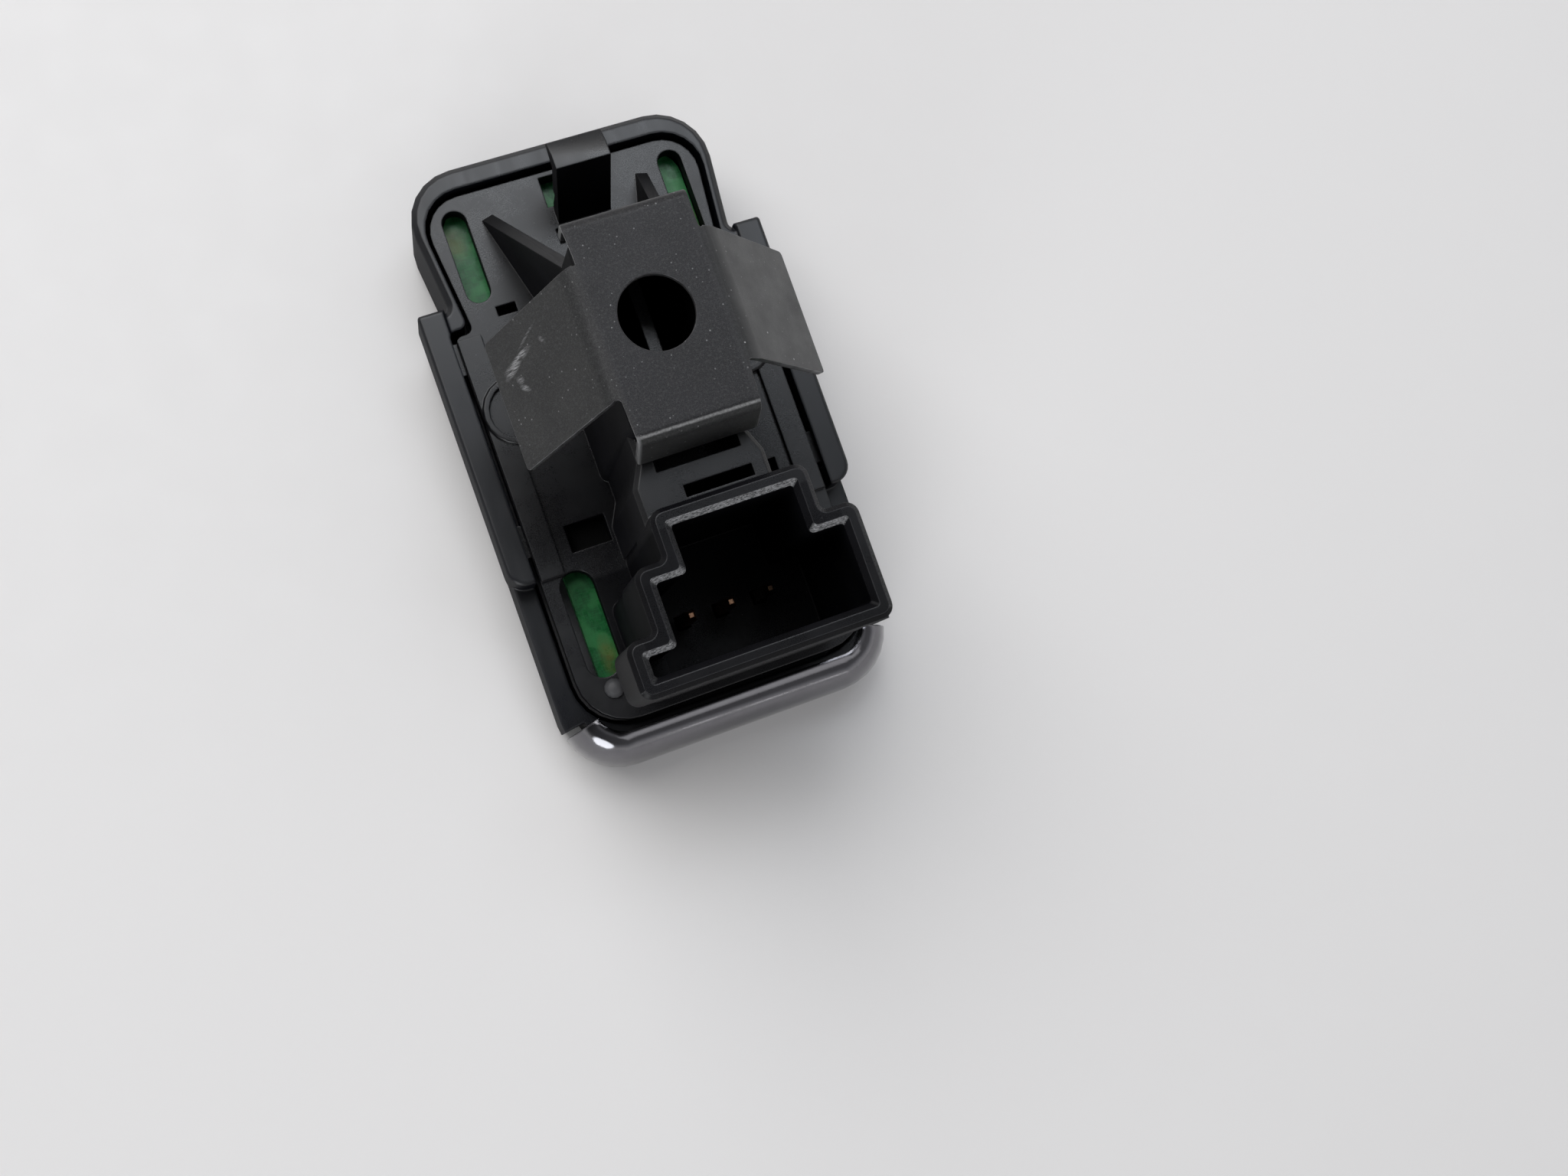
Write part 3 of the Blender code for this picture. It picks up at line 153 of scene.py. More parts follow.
class Finish(Nodes):
    """A Principled material, with calls for its grain, wear, sheen and bump."""

    WALL_SHINE = 0.1
    WALL_ROUGHNESS = 0.55

    def __init__(self, name, roughness, metal=0.0):
        self.material = bpy.data.materials.new(name)
        self.material.use_nodes = True
        super().__init__(self.material.node_tree)
        self.shader = self.tree.nodes["Principled BSDF"]
        self.shader.inputs["Roughness"].default_value = roughness
        self.shader.inputs["Metallic"].default_value = metal
        self.level = self.shader.inputs["Specular IOR Level"]
        self.place = self.add("ShaderNodeTexCoord").outputs["Object"]

    def spot(self, at=(0, 0, 0), size=(1, 1, 1), spin=0.0):
        """The object's own place, in millimetres over size, about at and turned by spin degrees."""
        turned = self.add("ShaderNodeVectorRotate", rotation_type="Z_AXIS")
        self.feed(turned.inputs["Vector"], self.vector("SUBTRACT", self.place, [MM * c for c in at]))
        turned.inputs["Angle"].default_value = math.radians(-spin)
        return self.vector("MULTIPLY", turned.outputs[0], [1 / (MM * c) for c in size])

    def patch(self, at, size, spin=0.0, soft=0.35, share=1.0):
        """share in the middle of an ellipsoid of those half sizes, fading to 0 at its surface."""
        return self.band(self.vector("LENGTH", self.spot(at, size, spin)), 1.0, soft, 0.0, share)

    def noise(self, size, detail=2.0, rough=0.5, warp=0.0):
        """Noise whose features are about size millimetres, one number or one for each axis."""
        sizes = size if isinstance(size, tuple) else (size,) * 3
        made = self.add("ShaderNodeTexNoise")
        self.feed(made.inputs["Vector"], self.spot(size=sizes))
        for name, number in (("Scale", 1.0), ("Detail", detail), ("Roughness", rough), ("Distortion", warp)):
            made.inputs[name].default_value = number
        return made.outputs["Fac"]

    def specks(self, pitch, radius, region, low, high, rough=0.5):
        """Round specks, one in each cell of pitch, only where noise of the region's size is high."""
        made = self.add("ShaderNodeTexVoronoi")
        self.feed(made.inputs["Vector"], self.spot(size=(pitch,) * 3))
        made.inputs["Scale"].default_value = 1.0
        dots = self.band(made.outputs["Distance"], radius / pitch, radius / pitch * 0.6)
        return self.times(dots, self.band(self.noise(region, 2.0, rough), low, high))

    def true_normal(self):
        return self.parts(self.add("ShaderNodeNewGeometry").outputs["True Normal"])

    def rim(self, radius, samples=6):
        """A normal rounded over sharp edges by radius millimetres, and how near an edge is, 0 to 1."""
        soft = self.add("ShaderNodeBevel", samples=samples)
        soft.inputs["Radius"].default_value = radius * MM
        real = self.add("ShaderNodeNewGeometry")
        facing = self.vector("DOT_PRODUCT", soft.outputs[0], real.outputs["Normal"])
        return soft.outputs[0], self.band(facing, 0.985, 0.86)

    def bump(self, height, strength, depth, normal):
        """Adds relief of that depth in millimetres over normal."""
        made = self.add("ShaderNodeBump")
        self.feed(made.inputs["Height"], height)
        made.inputs["Strength"].default_value = strength
        made.inputs["Distance"].default_value = depth * MM
        self.feed(made.inputs["Normal"], normal)
        return made.outputs["Normal"]

    def matt_walls(self, shine):
        """Sheen on the flats, fading out on slopes and walls; returns how rough those are at least."""
        height = self.calc("ABSOLUTE", self.true_normal()[2])
        self.level.default_value = shine
        self.feed(self.level, self.band(height, 0.4, 0.9, shine * self.WALL_SHINE, shine))
        return self.band(height, 0.5, 0.9, self.WALL_ROUGHNESS, 0.0)

    def dull(self, where, left):
        """Leaves only that share of the sheen where the value is 1."""
        self.feed(self.level, self.times(self.level.links[0].from_socket, self.band(where, 0.0, 1.0, 1.0, left)))

    def use(self, colour, roughness, normal=None):
        self.feed(self.shader.inputs["Base Color"], colour)
        self.feed(self.shader.inputs["Roughness"], roughness)
        if normal is not None:
            self.feed(self.shader.inputs["Normal"], normal)
        return self.material


# ---- Kinds of finish
def moulded(name, dark, light, rough, edge_wear_and_highlight_colour, grain=0.06, dust=0.10, rounding=0.07, shine=0.4, extra=None):
    """Injection-moulded plastic: clouded colour, spark-eroded grain, paler edges (partly wear, partly painted edge
    highlight) and some dust.
    """
    made = Finish(name, rough)
    least = made.matt_walls(shine)
    colour = made.mix(made.band(made.noise(3.2, 4.0, 0.6), 0.35, 0.7), dark, light)
    normal, edge = made.rim(rounding)
    # Paler edges: partly wear, partly painted edge highlight.
    edge_wear_and_highlight = made.times(edge, made.band(made.noise(0.35, 3.0, 0.7), 0.35, 0.7, 0.3, 1.0))
    colour = made.mix(edge_wear_and_highlight, colour, edge_wear_and_highlight_colour)
    colour = made.mix(made.specks(0.7, 0.035, 2.4, 0.48, 0.7), colour, (dust, dust, dust * 1.03))
    if extra:
        colour = extra(made, colour, edge)
    fine = made.noise(grain, 3.0, 0.65)
    flow = made.noise(2.6, 3.0, 0.55)
    roughness = made.band(made.calc("ADD", fine, flow), 0.7, 1.3, rough - 0.06, rough + 0.08)
    normal = made.bump(fine, 0.35, 0.012, normal)
    return made.use(colour, made.calc("MAXIMUM", roughness, least), normal)


def polished(name, dark, light, rough, rounding=0.22, shine=0.22):
    """Glossy plastic: nearly even colour, paler edges as a painted highlight, faint wipe marks and a few hairline
    scratches.
    """
    made = Finish(name, rough)
    least = made.matt_walls(shine)
    colour = made.mix(made.band(made.noise(4.0, 3.0, 0.55), 0.4, 0.7), dark, light)
    normal, edge = made.rim(rounding)
    # Paler edges: a painted edge highlight.
    colour = made.mix(made.times(edge, 0.5), colour, (0.030, 0.031, 0.037))
    colour = made.mix(made.specks(0.9, 0.03, 3.0, 0.5, 0.7), colour, (0.12, 0.12, 0.125))
    wipes = made.noise((1.4, 6.0, 2.0), 4.0, 0.6, 0.6)
    roughness = made.band(wipes, 0.3, 0.75, rough - 0.05, rough + 0.08)
    hair = made.band(made.noise((0.08, 3.0, 0.6), 2.0, 0.5, 1.5), 0.70, 0.78)
    normal = made.bump(hair, 0.05, 0.003, normal)
    return made.use(colour, made.calc("MAXIMUM", roughness, least), normal)


def metal(name, dark, light, rough, grain=(0.05, 0.6, 0.05), share=1.0, rounding=0.04, extra=None):
    """Bare or plated metal with a drawn grain and a slightly uneven tone."""
    made = Finish(name, rough, share)
    colour = made.mix(made.band(made.noise(0.8, 3.0, 0.6), 0.35, 0.7), dark, light)
    if extra:
        colour = extra(made, colour)
    drawn = made.noise(grain, 4.0, 0.6)
    roughness = made.band(drawn, 0.3, 0.7, rough * 0.8, rough * 1.35)
    normal, _ = made.rim(rounding, 4)
    normal = made.bump(drawn, 0.15, 0.004, normal)
    return made.use(colour, roughness, normal)


# ---- Wear, painted highlights and painted shade in one place
MOUTH_X = (-6.7, 5.9)
MOUTH_Y = (-14.8, -7.2)
MOUTH_FROM_Z = 20.4
SCRAPE_AND_HIGHLIGHT_FROM_Y = -15.2
THIRD_PIN_FROM_X = 1.2


def mouth_scuffs_and_highlights(made, colour, edge):
    """Round the mouth of the plug shroud: chamfers facing -Y, and a little those facing +X, whitened as a painted
    highlight broken up by scraping, painted highlights along its edges, and dull inside it.
    """
    x, y, z = made.parts(made.spot())
    facing = made.true_normal()
    inside = made.times(made.between(x, *MOUTH_X, 0.3), made.between(y, *MOUTH_Y, 0.3))
    mouth = made.band(z, MOUTH_FROM_Z, MOUTH_FROM_Z + 0.25)
    slope = made.times(made.band(facing[2], 0.3, 0.5), made.band(facing[2], 0.97, 0.9))
    made.dull(made.calc("MAXIMUM", inside, made.times(mouth, made.calc("MAXIMUM", slope, 0.68))), 0.31)
    painted_highlight_and_wear = made.calc("MAXIMUM", made.band(facing[1], -0.1, -0.5), made.band(facing[0], 0.1, 0.6, 0.0, 0.12))
    scraped = made.band(made.noise((0.16, 0.07, 0.07), 4.0, 0.75), 0.38, 0.62, 0.08, 1.0)
    inner = made.band(y, SCRAPE_AND_HIGHLIGHT_FROM_Y, SCRAPE_AND_HIGHLIGHT_FROM_Y + 0.3)
    # Chamfers facing -Y, and a little those facing +X, whitened: a painted highlight broken up by scraping.
    colour = made.mix(made.times(mouth, inner, slope, painted_highlight_and_wear, scraped), colour, (0.36, 0.36, 0.365))
    flat = made.band(slope, 1.0, 0.0)
    # Pale lines along the mouth's edges on its flats: a painted edge highlight.
    return made.mix(made.times(mouth, edge, flat, 0.8), colour, (0.11, 0.11, 0.117))


def tarnish(made, colour):
    """Brown tarnish in spots over the terminals; the third one darkened all over as painted shade."""
    x, _, _ = made.parts(made.spot())
    spots = made.band(made.noise(0.6, 3.0, 0.6), 0.42, 0.60, 0.1, 0.5)
    # The third terminal darkened all over: painted shade.
    third = made.band(x, THIRD_PIN_FROM_X, THIRD_PIN_FROM_X + 0.4, 0.0, 0.93)
    return made.mix(made.calc("MAXIMUM", spots, third), colour, (0.035, 0.022, 0.014))


# Place and half sizes of each flux stain
STAINS = (
    ((-7.3, 14.6, 0), (1.5, 1.6, 9)),
    ((-6.6, -12.0, 0), (0.8, 2.0, 9)),
    ((7.3, 12.0, 0), (1.2, 1.4, 9)),
)


def board_finish():
    """Green lacquer over the weave of the board, with copper showing through and brown flux stains."""
    made = Finish("board_green", 0.3)
    made.level.default_value = 0.25
    weave = made.calc("ADD", made.noise((0.5, 0.09, 1.0), 1.0), made.noise((0.09, 0.5, 1.0), 1.0))
    colour = made.mix(made.band(weave, 0.8, 1.2), (0.008, 0.080, 0.022), (0.016, 0.130, 0.038))
    copper = made.band(made.noise(1.7, 1.0, 0.4), 0.50, 0.56)
    colour = made.mix(made.times(copper, 0.55), colour, (0.035, 0.20, 0.060))
    cloud = made.band(made.noise(0.9, 3.0), 0.3, 0.6)
    for at, size in STAINS:
        stain = made.times(made.patch(at, size, soft=0.3), cloud, 0.75)
        colour = made.mix(stain, colour, (0.16, 0.095, 0.018))
    roughness = made.band(made.noise(0.6, 3.0), 0.3, 0.7, 0.2, 0.42)
    normal, _ = made.rim(0.03, 4)
    return made.use(colour, roughness, made.bump(weave, 0.2, 0.01, normal))


# ---- Finishes of the carried-over nodes, by the record's material slots
switch_steel = metal("switch_steel", (0.42, 0.42, 0.43), (0.56, 0.56, 0.57), 0.3)
FINISHES = {
    "gloss_black": polished(
        "bezel_black", (0.0032, 0.0036, 0.0052), (0.0052, 0.0058, 0.0082), 0.30, shine=0.45
    ),
    "bright_trim": metal(
        "trim_bright", (0.168, 0.165, 0.176), (0.186, 0.183, 0.194), 0.09, (0.9, 3.0, 0.9), rounding=0.2
    ),
    "moulded_black": moulded(
        "housing_black", (0.0030, 0.0030, 0.0037), (0.0056, 0.0056, 0.0070), 0.29, (0.013, 0.013, 0.015),
        rounding=0.11, shine=0.47, extra=mouth_scuffs_and_highlights
    ),
    "key_black": moulded(
        "key_black", (0.007, 0.007, 0.008), (0.011, 0.011, 0.012), 0.36, (0.03, 0.03, 0.033), 0.05, 0.08
    ),
    "frame_grey": moulded(
        "frame_grey", (0.045, 0.045, 0.048), (0.07, 0.07, 0.073), 0.5, (0.12, 0.12, 0.125), 0.08, 0.3
    ),
    "spring_steel": switch_steel,
    "board_green": board_finish(),
    "contact_copper": metal("pin_copper", (0.46, 0.25, 0.15), (0.60, 0.36, 0.22), 0.30, extra=tarnish),
    "switch_steel": switch_steel,
    "plunger_black": moulded(
        "plunger_black", (0.01, 0.01, 0.011), (0.016, 0.016, 0.017), 0.45, (0.05, 0.05, 0.05), 0.05, 0.1
    ),
    "led_white": moulded(
        "led_white", (0.62, 0.62, 0.58), (0.72, 0.72, 0.68), 0.35, (0.78, 0.78, 0.75), 0.05, 0.7
    ),
    "chip_black": moulded(
        "chip_black", (0.012, 0.012, 0.013), (0.02, 0.02, 0.021), 0.6, (0.06, 0.06, 0.06), 0.05, 0.15
    ),
    "ceramic_tan": moulded(
        "ceramic_tan", (0.36, 0.26, 0.17), (0.46, 0.35, 0.24), 0.5, (0.55, 0.47, 0.38), 0.04, 0.6
    ),
}
SMOOTH_BELOW = 34.0
ROUND_ABOVE = 38.0
TRIM_ROUNDING = 0.08


def smoothing(limit):
    """A modifier tree that welds the loose triangles and shades smooth over edges flatter than limit."""
    tree = bpy.data.node_groups.new("smooth_edges", "GeometryNodeTree")
    for way in ("INPUT", "OUTPUT"):
        tree.interface.new_socket("Geometry", in_out=way, socket_type="NodeSocketGeometry")
    start, end = tree.nodes.new("NodeGroupInput"), tree.nodes.new("NodeGroupOutput")
    weld = tree.nodes.new("GeometryNodeMergeByDistance")
    weld.inputs["Distance"].default_value = 0.0005 * MM
    faces = tree.nodes.new("GeometryNodeSetShadeSmooth")
    edges = tree.nodes.new("GeometryNodeSetShadeSmooth")
    edges.domain = "EDGE"
    edges.inputs["Shade Smooth"].default_value = False
    angle = tree.nodes.new("GeometryNodeInputMeshEdgeAngle")
    sharp = tree.nodes.new("FunctionNodeCompare")
    sharp.inputs[1].default_value = math.radians(limit)
    for source, target in (
        (start.outputs[0], weld.inputs["Geometry"]),
        (weld.outputs["Geometry"], faces.inputs["Geometry"]),
        (faces.outputs["Geometry"], edges.inputs["Geometry"]),
        (angle.outputs["Unsigned Angle"], sharp.inputs[0]),
        (sharp.outputs["Result"], edges.inputs["Selection"]),
        (edges.outputs["Geometry"], end.inputs[0]),
    ):
        tree.links.new(source, target)
    return tree


def round_edges(obj, radius, limit):
    """Rounds the object's edges that are sharper than limit degrees by radius millimetres."""
    bevel = obj.modifiers.new("round", "BEVEL")
    bevel.width = radius * MM
    bevel.segments = 2
    bevel.limit_method = "ANGLE"
    bevel.angle_limit = math.radians(limit)
    bevel.use_clamp_overlap = False


def dress(obj, *materials):
    obj.data.materials.clear()
    for material in materials:
        obj.data.materials.append(material)


soft_edges = smoothing(SMOOTH_BELOW)
for row in frame["record"]["subparts"]:
    node = nodes[row["node"]]
    dress(node, FINISHES[row["material_slot"]])
    if row["node"] == "chrome_trim":
        node.modifiers.new("weld", "WELD").merge_threshold = 0.001 * MM
        round_edges(node, TRIM_ROUNDING, ROUND_ABOVE)
    node.modifiers.new("smooth", "NODES").node_group = soft_edges
    node.modifiers.new("normals", "WEIGHTED_NORMAL").keep_sharp = True


# ---- The folded spring clip: a flat blank, cut by its fold lines and bent through smooth folds
CLIP_BACK = 22.0
SHEET = 0.4
HALF = 3.55
CLIP_END, CLIP_TOP = -2.55, 8.5
ROOT_LOW, ROOT_HIGH = -0.65, 6.85
WING_APEX = HALF + 0.362
WING_FOLD = 1.6
WING_LEAN = math.atan2(5.8, 5.1)
WING_REACH = 8.65
LEG_FOLD = 0.7
LEG_LEAN = math.radians(78.0)
LEG_RUN = 2.3
TAIL_FOLD = 0.6
TAIL_LEAN = math.radians(90.0)
TAIL_RUN = 1.6
# Middle and radius of the round hole
HOLE = (-0.2, 3.148, 2.05)
HOLE_SIDES = 64
FOLD_STEPS = 10
SHORTEST = 0.035
SHEET_ROUNDING = 0.04
SHEET_ROUND_ABOVE = 50.0
WING_START = WING_APEX - WING_FOLD * math.tan(WING_LEAN / 2)


def fold(distance, radius, lean):
    """(out, down) of a point that far past the start of a fold of that radius and lean."""
    turned = min(max(0.0, distance) / radius, lean)
    out = radius * math.sin(turned)
    down = radius * (1 - math.cos(turned))
    rest = max(0.0, distance - radius * lean)
    return out + rest * math.cos(lean), down + rest * math.sin(lean)


def rounded_corners(corners, steps=4):
    """The outline through (x, y, radius) corners, each rounded by its radius."""
    line = []
    count = len(corners)
    for i, (x, y, radius) in enumerate(corners):
        here = Vector((x, y))
        back = (Vector(corners[i - 1][:2]) - here).normalized()
        ahead = (Vector(corners[(i + 1) % count][:2]) - here).normalized()
        half = back.angle(ahead) / 2
        run = radius / math.tan(half)
        start, stop = here + back * run, here + ahead * run
        middle = here + (back + ahead).normalized() * (radius / math.sin(half))
        first = start - middle
        sweep = first.angle_signed(stop - middle)
        for k in range(steps + 1):
            line.append(middle + Matrix.Rotation(-sweep * k / steps, 2) @ first)
    return line


def clip_outline():
    """The flat blank's outline, counted from the leg's right corner."""
    arc_out, _ = fold(WING_FOLD * WING_LEAN, WING_FOLD, WING_LEAN)
    tip = WING_START + WING_FOLD * WING_LEAN
    tip += (WING_REACH - WING_START - arc_out) / math.cos(WING_LEAN)
    leg_end = CLIP_END - LEG_FOLD * LEG_LEAN - LEG_RUN
    tail_end = CLIP_TOP + TAIL_FOLD * TAIL_LEAN + TAIL_RUN
    right = [
        (3.40, leg_end, 0.25),
        (3.40, CLIP_END - 0.55, 0.4),
        (3.54, ROOT_LOW + 0.14, 0.2),
        (4.05, ROOT_LOW + 0.03, 0.3),
        (tip, ROOT_LOW - 0.95, 0.16),
        (tip, ROOT_HIGH - 1.25, 0.3),
        (3.95, ROOT_HIGH - 0.05, 0.25),
        (3.68, ROOT_HIGH + 0.03, 0.10),
        (3.48, ROOT_HIGH - 0.16, 0.11),
        (3.43, ROOT_HIGH + 0.5, 0.3),
        (3.46, CLIP_TOP + 0.1, 0.4),
        (3.40, tail_end, 0.25),
    ]
    left = [
        (-3.40, tail_end, 0.25),
        (-3.46, CLIP_TOP + 0.1, 0.4),
        (-3.38, ROOT_HIGH + 0.5, 0.3),
        (-3.36, ROOT_HIGH - 0.22, 0.11),
        (-3.62, ROOT_HIGH - 0.06, 0.12),
        (-3.95, ROOT_HIGH - 0.12, 0.25),
        (-tip, ROOT_HIGH - 1.42, 0.3),
        (-tip, ROOT_LOW - 1.15, 0.16),
        (-4.1, ROOT_LOW - 0.02, 0.4),
        (-3.53, ROOT_LOW + 0.24, 0.26),
        (-3.40, CLIP_END - 0.55, 0.4),
        (-3.40, leg_end, 0.25),
    ]
    return rounded_corners(right + left)


def half_blank(bm, outline, side):
    """One half of the flat blank: its outline, closed round its half of the hole."""
    x, y, radius = HOLE
    quarter = HOLE_SIDES // 4
    first_step = quarter if side > 0 else 3 * quarter
    hole = []
    for k in range(first_step, first_step - 2 * quarter - 1, -1):
        angle = 2 * math.pi * k / HOLE_SIDES
        hole.append(Vector((x + radius * math.cos(angle), y + radius * math.sin(angle))))
    mine = [p for p in outline if (p.x - x) * side > 0]
    first, last = Vector((x, mine[0].y)), Vector((x, mine[-1].y))
    bm.faces.new([bm.verts.new((*p, 0.0)) for p in (first, *mine, last, *hole)])


def fold_lines():
    """(axis, place) of each cut across the blank, so that its folds bend smoothly."""
    folds = [(1, CLIP_END, -LEG_FOLD * LEG_LEAN), (1, CLIP_TOP, TAIL_FOLD * TAIL_LEAN)]
    folds += [(0, side * WING_START, side * WING_FOLD * WING_LEAN) for side in (-1, 1)]
    return [(axis, start + arc * k / FOLD_STEPS) for axis, start, arc in folds for k in range(FOLD_STEPS + 1)]


def folded(x, y):
    """Where the blank's point lies once the wings, the leg and the tail are folded."""
    out, drop = fold(abs(x) - WING_START, WING_FOLD, WING_LEAN)
    if abs(x) > WING_START:
        x = math.copysign(WING_START + out, x)
    if y < CLIP_END:
        out, down = fold(CLIP_END - y, LEG_FOLD, LEG_LEAN)
        y, drop = CLIP_END - out, drop + down
    elif y > CLIP_TOP:
        out, down = fold(y - CLIP_TOP, TAIL_FOLD, TAIL_LEAN)
        y, drop = CLIP_TOP + out, drop + down
    return Vector((x, y, CLIP_BACK - drop)) * MM


def clip_sheet():
    """The clip's sheet as one smooth folded mesh of the record's size."""
    bm = bmesh.new()
    outline = clip_outline()
    half_blank(bm, outline, 1)
    half_blank(bm, outline, -1)
    bmesh.ops.remove_doubles(bm, verts=bm.verts, dist=1e-5)
    for axis, place in fold_lines():
        point, normal = [0.0] * 3, [0.0] * 3
        point[axis], normal[axis] = place, 1.0
        geom = [*bm.verts, *bm.edges, *bm.faces]
        bmesh.ops.bisect_plane(bm, geom=geom, dist=1e-5, plane_co=point, plane_no=normal)
    bmesh.ops.remove_doubles(bm, verts=bm.verts, dist=SHORTEST)
    for vert in bm.verts:
        vert.co = folded(vert.co.x, vert.co.y)
    bmesh.ops.recalc_face_normals(bm, faces=bm.faces)
    if sum(face.normal.z for face in bm.faces) < 0:
        bmesh.ops.reverse_faces(bm, faces=bm.faces)
    mesh = bpy.data.meshes.new("clip_sheet")
    bm.to_mesh(mesh)
    bm.free()
    mesh.shade_smooth()
    clip = bpy.data.objects.new("clip_sheet", mesh)
    bpy.context.scene.collection.objects.link(clip)
    thick = clip.modifiers.new("sheet", "SOLIDIFY")
    thick.thickness = SHEET * MM
    thick.offset = -1.0
    thick.use_even_offset = True
    thick.material_offset_rim = 1
    round_edges(clip, SHEET_ROUNDING, SHEET_ROUND_ABOVE)
    clip.modifiers.new("normals", "WEIGHTED_NORMAL").keep_sharp = True
    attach(clip, BODY)
    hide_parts("spring_clip")
    return clip


# Rubbed strokes on the left wing: place, half sizes, spin in degrees and strength
STROKES = (
    ((-7.40, 3.75, 19), (0.95, 0.24, 9), 26.0, 1.0),
    ((-7.75, 3.35, 19), (0.60, 0.20, 9), 32.0, 1.0),
    ((-7.10, 4.00, 19), (0.45, 0.12, 9), 24.0, 0.8),
    ((-7.55, 2.75, 19), (0.20, 0.26, 9), 20.0, 0.7),
    ((-7.45, 2.25, 19), (0.34, 0.16, 9), 130.0, 0.9),
    ((-6.0, 4.1, 19), (0.3, 0.12, 9), 110.0, 0.45),
    ((-6.6, 4.7, 19), (0.9, 0.09, 9), 40.0, 0.35),
)


def clip_finish():
    """Blackened spring steel: fine mottled grain, dust, pale rubbed strokes on one wing; painted light in tones that
    differ between plate, wings and leg, painted highlights along the leg's fold and left edge, and paler edges, partly
    wear and partly painted highlight.
    """
    made = Finish("clip_steel", 0.42, 0.18)
    made.level.default_value = 0.27
    cloud = made.noise(2.6, 4.0, 0.6)
    fine = made.noise(0.055, 3.0, 0.7)
    grit = made.noise(0.14, 2.0, 0.6)
    x, y, _ = made.parts(made.spot())
    # Plate, wings and leg are one steel in different tones: the wings lighter towards the right and the plate darker,
    # painted light and shade.
    wings = made.mix(made.band(x, -3.0, 3.0), (0.0285, 0.0285, 0.0282), (0.098, 0.098, 0.0970))
    on_wing = made.band(made.calc("ABSOLUTE", x), 3.1, 4.4)
    colour = made.mix(on_wing, (0.0090, 0.0084, 0.0099), wings)
    # The leg below its fold in its own lighter tone: painted light.
    colour = made.mix(made.band(y, -2.6, -2.95), colour, (0.026, 0.026, 0.0255))
    colour = made.mix(made.band(cloud, 0.35, 0.75, 0.0, 0.5), colour, (0.011, 0.011, 0.012))
    colour = made.mix(made.band(fine, 0.42, 0.8, 0.0, 0.6), colour, (0.075, 0.075, 0.076))
    colour = made.mix(made.band(grit, 0.50, 0.75, 0.0, 0.42), colour, (0.070, 0.070, 0.071))
    # A pale line along the leg's fold: a painted highlight, broken by grit.
    bend = made.times(made.between(y, -2.92, -2.70, 0.08), made.band(grit, 0.30, 0.60, 0.4, 1.0))
    colour = made.mix(bend, colour, (0.24, 0.24, 0.24))
    # A pale line down the leg's left edge: a painted highlight.
    painted_leg_edge_highlight = made.times(made.band(x, -3.18, -3.32), made.band(y, -2.6, -2.8))
    colour = made.mix(painted_leg_edge_highlight, colour, (0.17, 0.17, 0.172))
    colour = made.mix(made.specks(0.38, 0.050, 1.1, 0.44, 0.56, 0.6), colour, (0.17, 0.17, 0.173))
    colour = made.mix(made.specks(0.95, 0.062, 1.7, 0.44, 0.54, 0.6), colour, (0.38, 0.38, 0.38))
    normal, edge = made.rim(0.05)
    # Paler edges: partly wear, partly painted edge highlight.
    painted_highlight_and_wear = made.times(edge, made.band(made.noise(0.25, 3.0, 0.7), 0.35, 0.65, 0.2, 1.0))
    colour = made.mix(painted_highlight_and_wear, colour, (0.24, 0.24, 0.245))
    streak = made.band(made.noise((0.5, 0.07, 0.5), 3.0, 0.7), 0.38, 0.62)
    for at, size, spin, share in STROKES:
        colour = made.mix(made.times(made.patch(at, size, spin, share=share), streak), colour, (0.30, 0.30, 0.305))
    roughness = made.band(made.calc("ADD", fine, cloud), 0.8, 1.3, 0.36, 0.52)
    return made.use(colour, roughness, made.bump(fine, 0.5, 0.012, normal))


cut_steel = metal("cut_steel", (0.13, 0.13, 0.135), (0.26, 0.26, 0.265), 0.34, (0.3, 0.3, 0.04), 0.8)
dress(clip_sheet(), clip_finish(), cut_steel)


# ---- Fine parts on the carried-over nodes
# The keys face down: their marks stand proud below FRONT. Each key's name and the y of its middle
FRONT = 0.5
KEYS = (("travel", 2.5), ("recline", -9.7))
MARK_HALF, MARK_BASE, MARK_TIP = 0.95, 3.0, 4.1
MARK_PROUD, MARK_SUNK = 0.02, 0.01
BOARD_BACK = 5.1
SHADE_SHEET_THICKNESS = 0.08
# Middle, width, length and corner radius of each near-black sheet under the vents, laid there as painted shade
SHADE_SHEETS = (
    (-5.5, -4.7, 3.4, 2.5, 0.3),
    (-5.6, 9.6, 2.0, 1.3, 0.2),
    (5.5, -4.7, 3.4, 2.5, 0.3),
    (5.6, 9.6, 2.0, 1.3, 0.2),
    (0.75, 13.0, 4.6, 1.7, 0.2),
)


def new_piece(name, bm, material, body=BODY):
    mesh = bpy.data.meshes.new(name)
    bmesh.ops.recalc_face_normals(bm, faces=bm.faces)
    bm.to_mesh(mesh)
    bm.free()
    piece = bpy.data.objects.new(name, mesh)
    bpy.context.scene.collection.objects.link(piece)
    dress(piece, material)
    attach(piece, body)


def slab(bm, outline, low, high):
    """A flat slab over the outline, from low to high, all in millimetres."""
    bottom = [bm.verts.new((p.x * MM, p.y * MM, low * MM)) for p in outline]
    top = [bm.verts.new((p.x * MM, p.y * MM, high * MM)) for p in outline]
    bm.faces.new(list(reversed(bottom)))
    bm.faces.new(top)
    count = len(outline)
    for i in range(count):
        j = (i + 1) % count
        bm.faces.new((bottom[i], bottom[j], top[j], top[i]))


def round_rect(x, y, width, length, radius):
    w, h = width / 2, length / 2
    corners = [(x - w, y - h, radius), (x + w, y - h, radius), (x + w, y + h, radius), (x - w, y + h, radius)]
    return rounded_corners(corners, 5)


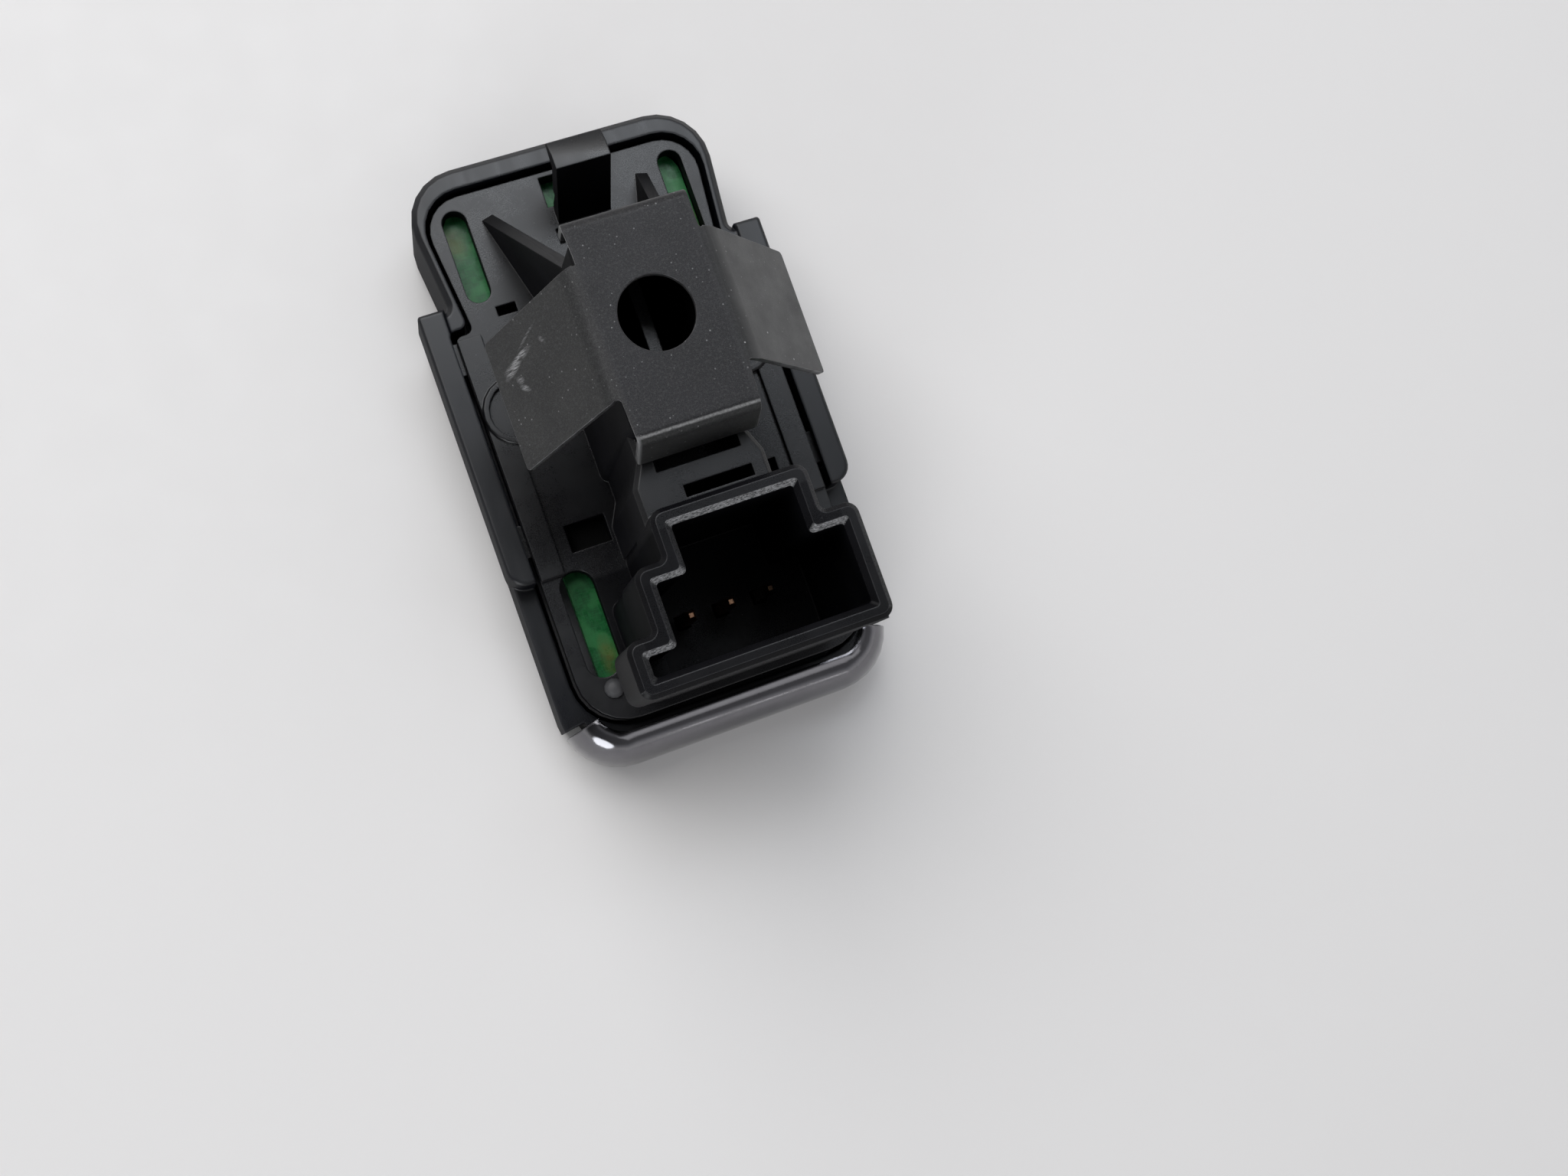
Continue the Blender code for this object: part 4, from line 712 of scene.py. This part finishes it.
mark_white = moulded(
    "mark_white", (0.55, 0.55, 0.54), (0.63, 0.63, 0.62), 0.45, (0.66, 0.66, 0.65), 0.05, 0.7
)
for key, y in KEYS:
    bm = bmesh.new()
    for way in (-1, 1):
        tip, base = y + way * MARK_TIP, y + way * MARK_BASE
        triangle = rounded_corners([(-MARK_HALF, base, 0.1), (MARK_HALF, base, 0.1), (0.0, tip, 0.1)], 3)
        slab(bm, triangle, FRONT - MARK_PROUD, FRONT + MARK_SUNK)
    new_piece(f"{key}_key_marks", bm, mark_white, f"{key}_rocker")

# Near-black sheets on the board under the vents: painted shade, so that the vents read dark.
shade_sheet_black = moulded(
    "shade_sheet_black", (0.0012, 0.0012, 0.0014), (0.0022, 0.0022, 0.0024), 0.5, (0.004, 0.004, 0.0045), 0.1, 0.01, shine=0.1
)
bm = bmesh.new()
for place in SHADE_SHEETS:
    slab(bm, round_rect(*place), BOARD_BACK, BOARD_BACK + SHADE_SHEET_THICKNESS)
new_piece("board_shade_sheets", bm, shade_sheet_black)


# ---- Floor and light
FLOOR_REACH = 3.0
FLOOR_DROP = 0.0002
FLOOR_NEAR, FLOOR_FAR = 0.12, 0.45
WHITE = (1.0, 1.0, 1.0)
# Lamps, all turned to the part: name, place, sizes, watts, colour and shape
LAMPS = [
    ("key_light", (-0.13, 0.31, 0.42), (0.52, 0.44), 2.4, WHITE, "RECTANGLE"),
    ("soft_box", (0.10, 0.215, 0.52), (0.35, 0.15), 0.6, (0.86, 0.92, 1.0), "RECTANGLE"),
    ("corner_lamp", (-0.29, -0.34, 0.10), (0.23, 0.23), 0.60, (0.95, 0.98, 1.0), "DISK"),
    ("strip_light", (0.10, -0.27, 0.42), (0.34, 0.20), 0.16, WHITE, "RECTANGLE"),
]
for number, across in enumerate((0.058, 0.081, 0.104)):
    LAMPS.append((f"low_lamp_{number}", (across, -0.44, 0.05), (0.014, 0.014), 0.0015, WHITE, "DISK"))


def far_white(finish):
    """Lets the floor fade into the pale background with its distance."""
    away = finish.band(finish.vector("LENGTH", finish.place), FLOOR_NEAR, FLOOR_FAR)
    glow = finish.add("ShaderNodeEmission")
    finish.feed(glow.inputs["Color"], BACKGROUND)
    blend = finish.add("ShaderNodeMixShader")
    finish.feed(blend.inputs[0], finish.times(finish.seen_rays(), away))
    finish.feed(blend.inputs[1], finish.shader.outputs[0])
    finish.feed(blend.inputs[2], glow.outputs[0])
    finish.feed(finish.tree.nodes["Material Output"].inputs["Surface"], blend.outputs[0])


mesh = bpy.data.meshes.new("floor")
corners = [(x * FLOOR_REACH, y * FLOOR_REACH, 0) for x, y in ((-1, -1), (1, -1), (1, 1), (-1, 1))]
mesh.from_pydata(corners, [], [(0, 1, 2, 3)])
floor = bpy.data.objects.new("floor", mesh)
floor.location.z = -FLOOR_DROP
bpy.context.scene.collection.objects.link(floor)
paper = Finish("floor_pale", 0.7)
tone = paper.mix(paper.noise(40.0, 3.0), (0.785, 0.769, 0.759), (0.80, 0.784, 0.774))
dress(floor, paper.use(tone, paper.band(paper.noise(3.0), 0.3, 0.7, 0.6, 0.8)))
far_white(paper)

for name, place, size, power, colour, shape in LAMPS:
    lamp_data = bpy.data.lights.new(name, "AREA")
    lamp_data.shape = shape
    lamp_data.size, lamp_data.size_y = size
    lamp_data.energy = power
    lamp_data.color = colour
    lamp = bpy.data.objects.new(name, lamp_data)
    lamp.location = place
    lamp.rotation_euler = (-Vector(place)).to_track_quat("-Z", "Y").to_euler()
    bpy.context.scene.collection.objects.link(lamp)


def studio_world():
    """Dim overhead, where the photographer stands, lighter to one side, with a pale low background."""
    world = bpy.data.worlds.new("world")
    bpy.context.scene.world = world
    world.use_nodes = True
    sky = Nodes(world.node_tree)
    way = sky.add("ShaderNodeTexCoord").outputs["Generated"]
    height = sky.parts(way)[2]
    ramp = sky.add("ShaderNodeValToRGB")
    sky.feed(ramp.inputs["Fac"], height)
    stops = ramp.color_ramp.elements
    stops[0].position, stops[0].color = 0.0, (0.34, 0.34, 0.35, 1)
    stops[1].position, stops[1].color = 1.0, (0.03, 0.03, 0.033, 1)
    for position, level in ((0.3, 0.26), (0.45, 0.12), (0.80, 0.12), (0.93, 0.25), (0.97, 0.05)):
        stops.new(position).color = (level, level * 1.01, level * 1.05, 1)
    toward = sky.vector("DOT_PRODUCT", way, (0.85, -0.5, 0.0))
    sided = sky.add("ShaderNodeVectorMath", operation="SCALE")
    sky.feed(sided.inputs[0], ramp.outputs["Color"])
    sky.feed(sided.inputs["Scale"], sky.band(toward, -1.0, 1.0, 0.3, 2.2))
    low_sky = sky.times(sky.seen_rays(), sky.band(height, 0.30, 0.12))
    shown = sky.mix(low_sky, sided.outputs[0], BACKGROUND)
    sky.feed(sky.tree.nodes["Background"].inputs["Color"], shown)


studio_world()
bpy.context.scene.view_settings.view_transform = "Standard"
